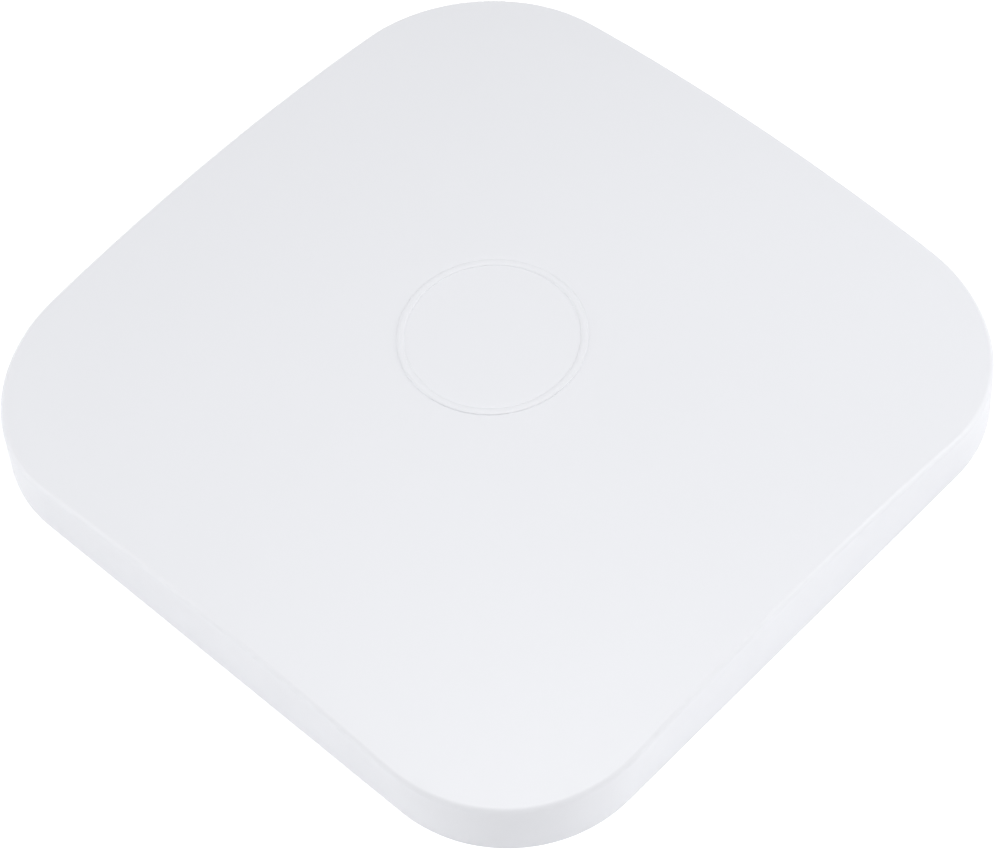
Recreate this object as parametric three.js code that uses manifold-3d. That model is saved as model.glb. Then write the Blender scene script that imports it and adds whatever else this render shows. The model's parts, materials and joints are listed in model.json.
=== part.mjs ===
// Ceiling access point: a domed, square case with round corners that twists on to a ceiling plate.
// Millimetres, +Z up. The origin is the centre of the face that meets the ceiling, so the part lies
// on its back with the dome up. The cables leave towards +Y.
import * as THREE from "three";
import { mergeVertices } from "three/addons/utils/BufferGeometryUtils.js";
import Module from "manifold-3d";

const wasm = await Module();
wasm.setup();

// ---- Driving dimensions ----

// Case
const CASE_WIDTH = 185;
const CASE_HEIGHT = 31;
const CORNER_RADIUS = 39;
const SIDE_HEIGHT = 21; // where the dome meets the middle of a side
const RIM_FILLET = 1.2;
const SIDE_TAPER = 1; // how far the foot of the side stands in from its rim
const FOOT_CORNER_RADIUS = 35;
const COVER_WALL = 2.2;
const SEAM_GAP = 0.4; // between the cover and the base
const SEAT_GAP = 0.1; // between pieces that rest on each other
const EMBLEM_RADIUS = 21;
const EMBLEM_WIDTH = 1.8;
const EMBLEM_HEIGHT = 0.35;
const LIGHT_SKIN = 1; // what is left of the cover over the light pipe
const RIB_PLACES = [-36, -12, 12, 36]; // along each side, inside the cover
const RIB_SIZE = { length: 5, thickness: 1.4 };
const KNOCKOUT_FLANGE = 6;

// Base
const FLOOR_RECESS = 1; // the floor's outside stands this far in from the ceiling
const BASE_WALL = 2;
const BASE_LIP_HEIGHT = 5;
const BASE_LIP_WALL = 1.5;
const BOSS_RADIUS = 3.6;
const CASE_SCREW_INSET = 28.5; // from the sides
const VENT_WIDTH = 2.2;
const VENT_MARGIN = 4.8; // from each end of a slot to the walls beside it
const VENT_PITCH = 5;
const VENT_COUNT = 9;
const LABEL_SIZE = { width: 70, length: 14, thickness: 0.2, recess: 0.3, corner: 1.5 };

// Twist lock
const POCKET_DEPTH = 5.5;
const POCKET_GAP = 1.1; // around the plate's tabs
const PLATE_RADIUS = 56;
const PLATE_THICKNESS = 2.4;
const PLATE_RIM_WIDTH = 3.2;
const TAB_COUNT = 4;
const TAB_REACH = 4.4;
const TAB_THICKNESS = 1.5;
const TAB_ANGLE = 14; // degrees
const HOOK_ANGLE = 16;
const HOOK_THICKNESS = 1.4;
const STOP_ANGLE = 3;
const STOP_GAP_ANGLE = 0.5; // between a stop and its tab
const TWIST_GAP = 0.4;
const SCREW_SLOT_INSET = 10; // from the plate's edge
const SCREW_SLOT_WIDTH = 4.6;
const SCREW_SLOT_ANGLE = 18;
const SCREW_SLOT_PLACES = [188, 222.5, 255, 285, 317.5, 352]; // degrees round the plate
const PLATE_RIB_PLACES = [205, 240, 270, 300, 335];
const PLATE_RIB_WIDTH = 1.6;
const PLATE_RIB_START = 11.2; // from the plate's middle
const MOUTH_GAP = { x: 1, y: 2 }; // around the bay's mouth
const MOUTH_CORNER = 6;

// Port bay and cable channel
const BAY_WIDTH = 72;
const BAY_LENGTH = 36;
const BAY_WALL = 1.5;
const BAY_BACK = -2; // the wall that the ports look out of
const CHANNEL_WIDTH = 16;
const CHANNEL_DEPTH = 10.5;
const PORT_GAP = 0.3;

// Board
const BOARD_HEIGHT = 8.6; // underside
const BOARD_THICKNESS = 1.6;
const BOARD_INSET = { x: 19, y: 29.5 }; // from the sides of the case
const BOARD_GAP = 1;
const BOARD_SCREW_INSET = { x: 9.5, y: 14 }; // from the board's edges

// Ports, from the middle of the bay's back wall
const ETHERNET_WIDTH = 16;
const ETHERNET_LENGTH = 15.8;
const ETHERNET_HEIGHT = 12.4;
const ETHERNET_X = [-24.5, -5.5];
const SOCKET_WIDTH = 11.9;
const SOCKET_HEIGHT = 8.2;
const SOCKET_DEPTH = 13;
const LATCH_WIDTH = 6.2;
const LATCH_HEIGHT = 2;
const CONTACT_COUNT = 8;
const CONTACT_PITCH = 1.02;
const CONTACT_WIDTH = 0.4;
const POWER_JACK_WIDTH = 9;
const POWER_JACK_LENGTH = 14.4;
const POWER_JACK_HEIGHT = 11;
const POWER_JACK_X = 13;
const POWER_BORE_RADIUS = 3.2;
const POWER_PIN_RADIUS = 1;
const POWER_BORE_DEPTH = 10;
const BUTTON_X = { reset: 24.5, mode: 31.5 };
const BUTTON_RADIUS = 1.6;
const BUTTON_LENGTH = 7;
const BUTTON_PROUD = 1;
const BUTTON_TRAVEL = 0.5;
const BUTTON_FLANGE = 0.8;
const SWITCH_SIZE = { width: 6.2, length: 3.6, height: 4.6 };
const TRANSFORMER_SIZE = { width: 12.6, length: 8, height: 5 };
const TRANSFORMER_GAP = 2; // behind the network sockets

// Radio side
const HEAT_SINK_SIZE = { width: 100, length: 28, thickness: 1.6 };
const HEAT_SINK_INSET = 3; // from the board's front edge
const FIN_COUNT = 17;
const FIN_THICKNESS = 1.2;
const FIN_HEIGHT = 3.6;
const FIN_SETBACK = 0.6; // from the plate's front and back edges
const SHIELD_SIZE = { width: 26, length: 22, height: 2.8 };
const SHIELD_WALL = 0.4;
const SHIELD_PITCH = 29;
const PAD_SIZE = { width: 20, length: 18, height: 0.8 };
const CHIP_SIZE = { width: 12, length: 12, height: 1.2 };
const MEMORY_SIZE = { width: 13, length: 8, height: 1.2 };
const FLASH_SIZE = { width: 6, length: 5, height: 1.6 };
const NETWORK_CHIP_SIZE = { width: 10, length: 10, height: 1 };
const LED_SIZE = { width: 1.6, length: 0.8, height: 0.6 };
const CAPACITOR_RADIUS = 4;
const CAPACITOR_HEIGHT = 10;
const INDUCTOR_WIDTH = 10;
const INDUCTOR_HEIGHT = 4.4;
const ANTENNA_INSET = { x: 16.5, y: 52.5 }; // from the sides of the case
const ANTENNA_SHEET = 0.5;
const ANTENNA_FOOT = 7;
const ANTENNA_ARM = 8;
const ANTENNA_RISE = 10.5;
const ANTENNA_LENGTH = { low_band: 30, high_band: 16 };
const STAKE_RADIUS = 1.2;
const LEAD_RADIUS = 0.6;
const LEAD_HEIGHT = 2; // of a lead's middle above the board
const LEAD_STEP = 3.5; // length of its straight pieces
const PLUG_RADIUS = 1.5;
const RF_SOCKET_INSET = 8; // from the board's screws
const RF_SOCKET_Y = { low_band: -30, high_band: -24 };
const LIGHT_PIPE_RADIUS = 2;
const LIGHT_PIPE_Y = 8;
const LIGHT_PIPE_BOTTOM = 1; // above the board

// Screws
const SCREW_RADIUS = 1.1;
const SCREW_HEAD_RADIUS = 2.4;
const SCREW_HEAD_HEIGHT = 1.6;
const SCREW_LENGTH = { case: 10, board: 6, heatSink: 6.5 };
const SCREW_HOLE_GAP = 0.3;
const RECESS_WIDTH = 0.7;
const RECESS_LENGTH = 2.8;

// How finely round forms are cut
const SIDE_STEPS = 4;
const CORNER_STEPS = 8;
const ROUND_STEPS = 40;
const SMALL_STEPS = 12;

// ---- Sizes that follow ----

const HALF = CASE_WIDTH / 2;
const DOME_RISE = CASE_HEIGHT - SIDE_HEIGHT;
const DOME_RADIUS = (HALF * HALF + DOME_RISE * DOME_RISE) / (2 * DOME_RISE);
const CASE_SCREW_PLACE = HALF - CASE_SCREW_INSET;
const FLOOR_TOP = FLOOR_RECESS + BASE_WALL;
const FOOT_HALF = HALF - SIDE_TAPER;
const TRAY_INSET = COVER_WALL + SEAM_GAP; // from the outside of the foot
const TRAY_HALF = FOOT_HALF - TRAY_INSET;
const BAY_FRONT = BAY_BACK + BAY_LENGTH;
const BAY_MIDDLE = (BAY_BACK + BAY_FRONT) / 2;
const BOARD_TOP = BOARD_HEIGHT + BOARD_THICKNESS;
const BOARD_WIDTH = CASE_WIDTH - 2 * BOARD_INSET.x;
const BOARD_LENGTH = CASE_WIDTH - 2 * BOARD_INSET.y;
const BOARD_SCREW_X = BOARD_WIDTH / 2 - BOARD_SCREW_INSET.x;
const BOARD_SCREW_Y = BOARD_LENGTH / 2 - BOARD_SCREW_INSET.y;
const BAY_DEPTH = BOARD_TOP + SEAT_GAP + ETHERNET_HEIGHT + 2 * PORT_GAP;
const NOTCH_HALF = BAY_WIDTH / 2 + BAY_WALL + BOARD_GAP; // the board's notch around the bay
const WING_MIDDLE = (NOTCH_HALF + BOARD_WIDTH / 2) / 2; // of the board beside the bay
const HEAT_SINK_Y = HEAT_SINK_INSET + HEAT_SINK_SIZE.length / 2 - BOARD_LENGTH / 2;
const HEAT_SINK_SCREW_X = HEAT_SINK_SIZE.width / 2 - BOSS_RADIUS;
const ANTENNA_X = HALF - ANTENNA_INSET.x; // the outer face of the leg
const ANTENNA_Y = HALF - ANTENNA_INSET.y;
const RF_SOCKET_X = BOARD_SCREW_X - RF_SOCKET_INSET;
const LIGHT_PIPE_PLACE = { x: WING_MIDDLE, y: LIGHT_PIPE_Y };
const POCKET_RADIUS = PLATE_RADIUS + TAB_REACH + POCKET_GAP;
const LABEL_Y = -(POCKET_RADIUS + BASE_WALL + TRAY_HALF) / 2;
const SHIELD_TOP = SEAT_GAP + SHIELD_SIZE.height;
const PAD_BOTTOM = SHIELD_TOP + SEAT_GAP;
const HEAT_SINK_BOTTOM = PAD_BOTTOM + PAD_SIZE.height + SEAT_GAP;
const TAB_BOTTOM = FLOOR_RECESS + HOOK_THICKNESS + TWIST_GAP;
const RIM_TOP = TAB_BOTTOM + TAB_THICKNESS;
const SCREW_HOLE_RADIUS = SCREW_RADIUS + SCREW_HOLE_GAP;
const HEAD_HOLE_RADIUS = SCREW_HEAD_RADIUS + SCREW_HOLE_GAP;
const SCREW_SEAT = FLOOR_RECESS + SCREW_HEAD_HEIGHT; // where a case screw's head bears, from below
const PILOT_RADIUS = SCREW_RADIUS + SEAT_GAP;

// ---- Materials ----

const paint = (color, roughness, metalness = 0) =>
  new THREE.MeshStandardMaterial({ color, roughness, metalness });
const MATERIALS = {
  caseWhite: paint(0xeceef1, 0.45),
  bracketWhite: paint(0xe4e6e8, 0.55),
  label: paint(0xdadcde, 0.7),
  boardGreen: paint(0x14532d, 0.5),
  steel: paint(0xb9bcc0, 0.35, 1),
  tin: paint(0xc9cccf, 0.3, 1),
  aluminium: paint(0xa9adb2, 0.4, 1),
  blackPlastic: paint(0x1b1c1e, 0.5),
  greyRubber: paint(0x8a8f96, 0.85),
  clear: paint(0xf2f5f7, 0.15),
  lead: paint(0x2a2b2d, 0.5),
};

// ---- Solids ----

function solid(geometry) {
  const bare = new THREE.BufferGeometry().setAttribute("position", geometry.getAttribute("position"));
  bare.setIndex(geometry.index);
  const merged = mergeVertices(bare, 1e-4);
  return new wasm.Manifold(
    new wasm.Mesh({
      numProp: 3,
      vertProperties: merged.getAttribute("position").array,
      triVerts: new Uint32Array(merged.index.array),
    }),
  );
}

const join = (...solids) => solids.reduce((all, next) => all.add(next));
const cut = (from, ...tools) => from.subtract(join(...tools));

// A box centred on x and y that stands on z.
function block(width, length, height, x = 0, y = 0, z = 0) {
  return solid(new THREE.BoxGeometry(width, length, height).translate(x, y, z + height / 2));
}

const box = ({ width, length, height }) => block(width, length, height);

// A cylinder on the Z axis that stands on z.
function post(radius, height, x = 0, y = 0, z = 0, steps = SMALL_STEPS) {
  const round = new THREE.CylinderGeometry(radius, radius, height, steps);
  return solid(round.rotateX(Math.PI / 2).translate(x, y, z + height / 2));
}

// The same cylinder along the Y axis, from y towards +Y.
function rod(radius, length, x, y, z, steps = SMALL_STEPS) {
  return solid(new THREE.CylinderGeometry(radius, radius, length, steps).translate(x, y + length / 2, z));
}

function extrude(shape, height, z = 0, curveSegments = 6) {
  const geometry = new THREE.ExtrudeGeometry(shape, { depth: height, bevelEnabled: false, curveSegments });
  return solid(geometry.translate(0, 0, z));
}

function roundedRectangle(width, length, radius) {
  const [x, y] = [width / 2 - radius, length / 2 - radius];
  const shape = new THREE.Shape();
  shape.absarc(x, y, radius, 0, Math.PI / 2);
  shape.absarc(-x, y, radius, Math.PI / 2, Math.PI);
  shape.absarc(-x, -y, radius, Math.PI, 1.5 * Math.PI);
  shape.absarc(x, -y, radius, 1.5 * Math.PI, 2 * Math.PI);
  return shape;
}

// Part of a ring between two radii and two angles in degrees.
function ringSector(inner, outer, from, to, height, z) {
  const [start, end] = [from, to].map(THREE.MathUtils.degToRad);
  const shape = new THREE.Shape();
  shape.absarc(0, 0, outer, start, end, false);
  shape.absarc(0, 0, inner, end, start, true);
  return extrude(shape, height, z, 3);
}

// A slot with round ends that follows a circle, centred on an angle in degrees.
function arcSlot(radius, width, middle, spread, height, z) {
  const ends = [middle - spread / 2, middle + spread / 2];
  const round = ends.map((angle) => {
    const turn = THREE.MathUtils.degToRad(angle);
    return post(width / 2, height, radius * Math.cos(turn), radius * Math.sin(turn), z);
  });
  return join(ringSector(radius - width / 2, radius + width / 2, ...ends, height, z), ...round);
}

// Skins a run of rings, from a closing point to a closing point.
function loft(start, rings, end) {
  const count = rings[0].length;
  const points = [start, ...rings.flat(), end];
  const at = (ring, i) => 1 + ring * count + (i % count);
  const faces = [];
  for (let i = 0; i < count; i++) {
    faces.push(0, at(0, i), at(0, i + 1));
    for (let ring = 0; ring < rings.length - 1; ring++) {
      faces.push(at(ring, i), at(ring + 1, i), at(ring + 1, i + 1));
      faces.push(at(ring, i), at(ring + 1, i + 1), at(ring, i + 1));
    }
    faces.push(points.length - 1, at(rings.length - 1, i + 1), at(rings.length - 1, i));
  }
  return solid(new THREE.BufferGeometry().setFromPoints(points).setIndex(faces));
}

// ---- The case's form ----

// A rounded square moved in by inset, anticlockwise from the +X side.
function roundedSquare(half, corner, inset) {
  const centre = half - corner;
  const radius = corner - inset;
  const points = [];
  for (let quarter = 0; quarter < 4; quarter++) {
    const side = [];
    for (let i = 0; i < SIDE_STEPS; i++)
      side.push(new THREE.Vector2(centre + radius, centre * ((2 * i) / SIDE_STEPS - 1)));
    for (let i = 0; i < CORNER_STEPS; i++) {
      const turn = ((i / CORNER_STEPS) * Math.PI) / 2;
      side.push(new THREE.Vector2(centre + radius * Math.cos(turn), centre + radius * Math.sin(turn)));
    }
    const middle = new THREE.Vector2();
    points.push(...side.map((point) => point.rotateAround(middle, (quarter * Math.PI) / 2)));
  }
  return points;
}

const plan = (inset) => roundedSquare(HALF, CORNER_RADIUS, inset);
const footPlan = (inset) => roundedSquare(FOOT_HALF, FOOT_CORNER_RADIUS, inset);
const trayPlan = (inset) => roundedSquare(FOOT_HALF, (CORNER_RADIUS + FOOT_CORNER_RADIUS) / 2, inset);

// The height of the dome, or of the face that lies depth inside it.
function domeHeight({ x, y }, depth = 0) {
  const radius = DOME_RADIUS - depth;
  return CASE_HEIGHT - DOME_RADIUS + Math.sqrt(radius * radius - x * x - y * y);
}

const footRing = (inset) => footPlan(inset).map(({ x, y }) => new THREE.Vector3(x, y, 0));

// Rings over the dome, from near its middle out to inset.
function domeRings(inset, depth) {
  const innermost = CORNER_RADIUS * 0.7;
  const steps = [0.25, 0.5, 0.75];
  const scaled = steps.map((share) => plan(innermost).map((point) => point.multiplyScalar(share)));
  const offset = [innermost, innermost * 0.6, inset + innermost * 0.2, inset].map(plan);
  return [...scaled, ...offset].map((ring) =>
    ring.map((point) => new THREE.Vector3(point.x, point.y, domeHeight(point, depth))),
  );
}

// The fillet between the dome and the side.
function rimRings() {
  const start = plan(RIM_FILLET);
  return [30, 60, 90].map((degrees) => {
    const turn = THREE.MathUtils.degToRad(degrees);
    return plan(RIM_FILLET * (1 - Math.sin(turn))).map(
      ({ x, y }, i) => new THREE.Vector3(x, y, domeHeight(start[i]) - RIM_FILLET * (1 - Math.cos(turn))),
    );
  });
}

function caseShell() {
  const rings = [
    ...domeRings(RIM_FILLET, 0),
    ...rimRings(),
    footRing(0),
    footRing(COVER_WALL),
    ...domeRings(COVER_WALL + RIM_FILLET / 2, COVER_WALL).reverse(),
  ];
  const top = new THREE.Vector3(0, 0, CASE_HEIGHT);
  return loft(top, rings, new THREE.Vector3(0, 0, CASE_HEIGHT - COVER_WALL));
}

// The case's form moved in by depth on every side but its open foot.
function caseInside(depth) {
  const rings = [...domeRings(depth + RIM_FILLET, depth), footRing(depth)];
  return loft(new THREE.Vector3(0, 0, CASE_HEIGHT - depth), rings, new THREE.Vector3());
}

const corners = (x, y = x) => [
  [x, y],
  [-x, y],
  [-x, -y],
  [x, -y],
];

// ---- Cover, knock-out and base ----

const notch = (gap = 0) =>
  block(CHANNEL_WIDTH - 2 * gap, COVER_WALL * 6, CHANNEL_DEPTH - gap + 1, 0, HALF - COVER_WALL, -1);

function topCover() {
  const bossBottom = FLOOR_TOP + SEAT_GAP + BASE_WALL;
  const bosses = corners(CASE_SCREW_PLACE).map(([x, y]) => post(BOSS_RADIUS, CASE_HEIGHT, x, y, bossBottom));
  const sleeve = post(
    LIGHT_PIPE_RADIUS + PORT_GAP + COVER_WALL / 2,
    CASE_HEIGHT,
    LIGHT_PIPE_PLACE.x,
    LIGHT_PIPE_PLACE.y,
    domeHeight(LIGHT_PIPE_PLACE) - COVER_WALL - 4,
  );
  const ribs = [];
  for (let side = 0; side < 4; side++)
    for (const place of RIB_PLACES) {
      const rib = new THREE.BoxGeometry(RIB_SIZE.length, RIB_SIZE.thickness, CASE_HEIGHT);
      rib.translate(TRAY_HALF - 1, place, CASE_HEIGHT / 2 + FLOOR_TOP + BASE_LIP_HEIGHT + 1);
      ribs.push(solid(rib.rotateZ((side * Math.PI) / 2)));
    }
  const [half, root] = [EMBLEM_WIDTH / 2, -COVER_WALL / 2];
  const emblemSection = [
    [-half, root],
    [half, root],
    [half, 0],
    [half / 2, EMBLEM_HEIGHT],
    [-half / 2, EMBLEM_HEIGHT],
    [-half, 0],
    [-half, root],
  ];
  const emblemProfile = emblemSection.map(([x, z]) => new THREE.Vector2(EMBLEM_RADIUS + x, z));
  const emblem = new THREE.LatheGeometry(emblemProfile, ROUND_STEPS).rotateX(Math.PI / 2);
  emblem.translate(0, 0, domeHeight({ x: EMBLEM_RADIUS, y: 0 }));
  const inside = join(...bosses, sleeve, ...ribs).intersect(caseInside(COVER_WALL / 2));
  const bossHoles = corners(CASE_SCREW_PLACE).map(([x, y]) =>
    post(PILOT_RADIUS, SCREW_LENGTH.case - 1 + bossBottom, x, y, 0),
  );
  const pipeHole = post(
    LIGHT_PIPE_RADIUS + PORT_GAP,
    domeHeight(LIGHT_PIPE_PLACE, LIGHT_SKIN),
    LIGHT_PIPE_PLACE.x,
    LIGHT_PIPE_PLACE.y,
    0,
  );
  const shell = join(caseShell(), inside, solid(emblem));
  return cut(shell, ...bossHoles, pipeHole, notch());
}

function cableKnockout() {
  const wall = caseShell().intersect(notch(PORT_GAP));
  const outer = block(
    CHANNEL_WIDTH - 2 * PORT_GAP,
    KNOCKOUT_FLANGE,
    CHANNEL_DEPTH - PORT_GAP,
    0,
    FOOT_HALF - COVER_WALL - KNOCKOUT_FLANGE / 2 + COVER_WALL / 4,
  );
  const inner = block(
    CHANNEL_WIDTH - 2 * PORT_GAP - 2 * BAY_WALL,
    KNOCKOUT_FLANGE * 2,
    CHANNEL_DEPTH - PORT_GAP - BAY_WALL + 1,
    0,
    FOOT_HALF - COVER_WALL - KNOCKOUT_FLANGE,
    -1,
  );
  return join(cut(outer, inner), wall);
}

function baseShell() {
  const insets = [TRAY_INSET, TRAY_INSET + BASE_LIP_WALL];
  const [outside, inside] = insets.map((inset) => new THREE.Shape(trayPlan(inset)));
  const tray = extrude(outside, BASE_WALL + BASE_LIP_HEIGHT, FLOOR_RECESS);
  const trayInside = extrude(inside, CASE_HEIGHT, FLOOR_TOP);
  const pocketHeight = POCKET_DEPTH + BASE_WALL - FLOOR_RECESS;
  const pocket = post(POCKET_RADIUS + BASE_WALL, pocketHeight, 0, 0, FLOOR_RECESS, ROUND_STEPS);
  const pocketInside = post(POCKET_RADIUS, POCKET_DEPTH + 1, 0, 0, -1, ROUND_STEPS);
  const bay = block(
    BAY_WIDTH + 2 * BAY_WALL,
    BAY_LENGTH + 2 * BAY_WALL,
    BAY_DEPTH + BAY_WALL - FLOOR_RECESS,
    0,
    BAY_MIDDLE,
    FLOOR_RECESS,
  );
  const bayInside = block(BAY_WIDTH, BAY_LENGTH, BAY_DEPTH + 1, 0, BAY_MIDDLE, -1);
  const underCover = caseInside(COVER_WALL + SEAM_GAP);
  const underBay = caseInside(COVER_WALL + SEAM_GAP + BAY_WALL);
  const channelLength = TRAY_HALF - BAY_FRONT;
  const channel = block(
    CHANNEL_WIDTH + 2 * BAY_WALL,
    channelLength,
    CHANNEL_DEPTH + BAY_WALL - FLOOR_RECESS,
    0,
    BAY_FRONT + channelLength / 2,
    FLOOR_RECESS,
  );
  const channelInside = block(
    CHANNEL_WIDTH,
    channelLength + 2 * BAY_WALL,
    CHANNEL_DEPTH + 1,
    0,
    BAY_FRONT + channelLength / 2 + BAY_WALL / 2,
    -1,
  );
  const caseBosses = corners(CASE_SCREW_PLACE).map(([x, y]) => post(BOSS_RADIUS, BASE_WALL, x, y, FLOOR_TOP));
  const boardPosts = corners(BOARD_SCREW_X, BOARD_SCREW_Y).map(([x, y]) =>
    post(BOSS_RADIUS - 0.6, BOARD_HEIGHT - SEAT_GAP - FLOOR_TOP, x, y, FLOOR_TOP),
  );
  const stakes = antennaPlaces().map(({ x, y }) =>
    post(STAKE_RADIUS, 3 * ANTENNA_SHEET + BASE_WALL, x, y, FLOOR_RECESS + SEAT_GAP),
  );
  const housing = join(bay, channel).intersect(underCover);
  const raised = join(cut(tray, trayInside), pocket, housing, ...caseBosses, ...boardPosts, ...stakes);

  const screwHoles = corners(CASE_SCREW_PLACE).flatMap(([x, y]) => [
    post(SCREW_HOLE_RADIUS, CASE_HEIGHT, x, y, 0),
    post(HEAD_HOLE_RADIUS, SCREW_SEAT, x, y, 0),
  ]);
  const postHoles = corners(BOARD_SCREW_X, BOARD_SCREW_Y).map(([x, y]) =>
    post(SCREW_HOLE_RADIUS, CASE_HEIGHT, x, y, FLOOR_TOP),
  );
  const vents = [];
  for (const side of [-1, 1])
    for (let i = 0; i < VENT_COUNT; i++) {
      const [inner, outer] = [POCKET_RADIUS + BASE_WALL, TRAY_HALF - BASE_LIP_WALL];
      const slot = roundedRectangle(outer - inner - 2 * VENT_MARGIN, VENT_WIDTH, VENT_WIDTH / 2 - 0.01);
      const place = (i - (VENT_COUNT - 1) / 2) * VENT_PITCH;
      const middle = (inner + outer) / 2;
      vents.push(extrude(slot, CASE_HEIGHT, 0, 1).translate([side * middle, place, 0]));
    }
  const { width, length, recess } = LABEL_SIZE;
  const [recessWidth, recessLength] = [width + 2 * PORT_GAP, length + 2 * PORT_GAP];
  const labelRecess = block(recessWidth, recessLength, recess + 1, 0, LABEL_Y, FLOOR_RECESS - 1);
  const hollow = cut(
    raised,
    pocketInside,
    bayInside.intersect(underBay),
    channelInside,
    labelRecess,
    ...screwHoles,
    ...postHoles,
    ...vents,
    ...portWindows(),
  );
  return join(hollow, ...twistHooks());
}

// Openings in the bay's back wall for the ports and the buttons.
function portWindows() {
  const depth = BAY_WALL * 3;
  const middle = BAY_BACK - BAY_WALL / 2;
  const window = (width, height, x) =>
    block(width + 2 * PORT_GAP, depth, height + 2 * PORT_GAP, x, middle, BOARD_TOP + SEAT_GAP - PORT_GAP);
  const ethernet = ETHERNET_X.map((x) => window(ETHERNET_WIDTH, ETHERNET_HEIGHT, x));
  const buttons = Object.values(BUTTON_X).map((x) =>
    rod(BUTTON_RADIUS + PORT_GAP, depth, x, middle - depth / 2, buttonHeight()),
  );
  return [...ethernet, window(POWER_JACK_WIDTH, POWER_JACK_HEIGHT, POWER_JACK_X), ...buttons];
}

const buttonHeight = () => BOARD_TOP + SWITCH_SIZE.height / 2 + SEAT_GAP;
const tabAngles = () => Array.from({ length: TAB_COUNT }, (_, i) => 45 + (i * 360) / TAB_COUNT);

// Ledges under the plate's tabs, each with a stop at the locked end.
function twistHooks() {
  const inner = PLATE_RADIUS + 2 * TWIST_GAP;
  const outer = POCKET_RADIUS + BASE_WALL / 2;
  const stopHeight = POCKET_DEPTH + BASE_WALL / 2 - FLOOR_RECESS;
  return tabAngles().flatMap((angle) => {
    const stop = angle - TAB_ANGLE / 2 - STOP_GAP_ANGLE;
    return [
      ringSector(inner, outer, stop - STOP_ANGLE, angle + HOOK_ANGLE / 2, HOOK_THICKNESS, FLOOR_RECESS),
      ringSector(inner, outer, stop - STOP_ANGLE, stop, stopHeight, FLOOR_RECESS),
    ];
  });
}

function mountingPlate() {
  const disc = post(PLATE_RADIUS, PLATE_THICKNESS, 0, 0, 0, ROUND_STEPS);
  const rim = cut(
    post(PLATE_RADIUS, RIM_TOP, 0, 0, 0, ROUND_STEPS),
    post(PLATE_RADIUS - PLATE_RIM_WIDTH, RIM_TOP, 0, 0, PLATE_THICKNESS, ROUND_STEPS),
  );
  const tabs = tabAngles().map((angle) =>
    ringSector(
      PLATE_RADIUS - PLATE_RIM_WIDTH / 2,
      PLATE_RADIUS + TAB_REACH,
      angle - TAB_ANGLE / 2,
      angle + TAB_ANGLE / 2,
      TAB_THICKNESS,
      TAB_BOTTOM,
    ),
  );
  const ribs = PLATE_RIB_PLACES.map((angle) => {
    const length = PLATE_RADIUS - PLATE_RIM_WIDTH - PLATE_RIB_START;
    const [bottom, top] = [PLATE_THICKNESS / 2, RIM_TOP - 2 * SEAT_GAP];
    const rib = new THREE.BoxGeometry(length, PLATE_RIB_WIDTH, top - bottom);
    rib.translate(PLATE_RIB_START + length / 2, 0, (bottom + top) / 2);
    return solid(rib.rotateZ(THREE.MathUtils.degToRad(angle)));
  });
  const mouthLimit = post(PLATE_RADIUS - 1.5 * PLATE_RIM_WIDTH, CASE_HEIGHT + 2, 0, 0, -2, ROUND_STEPS);
  const [mouthWidth, mouthLength] = [BAY_WIDTH + 2 * MOUTH_GAP.x, BAY_LENGTH + 2 * MOUTH_GAP.y];
  const mouth = extrude(roundedRectangle(mouthWidth, mouthLength, MOUTH_CORNER), CASE_HEIGHT, -1)
    .translate([0, BAY_MIDDLE, 0])
    .intersect(mouthLimit);
  const slots = SCREW_SLOT_PLACES.map((angle) =>
    arcSlot(PLATE_RADIUS - SCREW_SLOT_INSET, SCREW_SLOT_WIDTH, angle, SCREW_SLOT_ANGLE, CASE_HEIGHT, -1),
  );
  return cut(join(disc, rim, ...tabs, ...ribs), mouth, ...slots);
}

// ---- Board and what it carries, in the board's own frame with its top face at 0 ----

function mainBoard() {
  const [x, y] = [BOARD_WIDTH / 2, BOARD_LENGTH / 2];
  const chamfer = x + y - 2 * CASE_SCREW_PLACE + Math.SQRT2 * (BOSS_RADIUS + BOARD_GAP);
  const notchEnd = BAY_BACK - BAY_WALL - BOARD_GAP;
  const outline = [
    [-x + chamfer, -y],
    [x - chamfer, -y],
    [x, -y + chamfer],
    [x, y - chamfer],
    [x - chamfer, y],
    [NOTCH_HALF, y],
    [NOTCH_HALF, notchEnd],
    [-NOTCH_HALF, notchEnd],
    [-NOTCH_HALF, y],
    [-x + chamfer, y],
    [-x, y - chamfer],
    [-x, -y + chamfer],
  ];
  const shape = new THREE.Shape(outline.map(([px, py]) => new THREE.Vector2(px, py)));
  const holes = [
    ...corners(BOARD_SCREW_X, BOARD_SCREW_Y),
    [HEAT_SINK_SCREW_X, HEAT_SINK_Y],
    [-HEAT_SINK_SCREW_X, HEAT_SINK_Y],
  ];
  const drills = holes.map(([px, py]) => post(SCREW_HOLE_RADIUS, 4, px, py, -3));
  return cut(extrude(shape, BOARD_THICKNESS, -BOARD_THICKNESS), ...drills);
}

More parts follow.
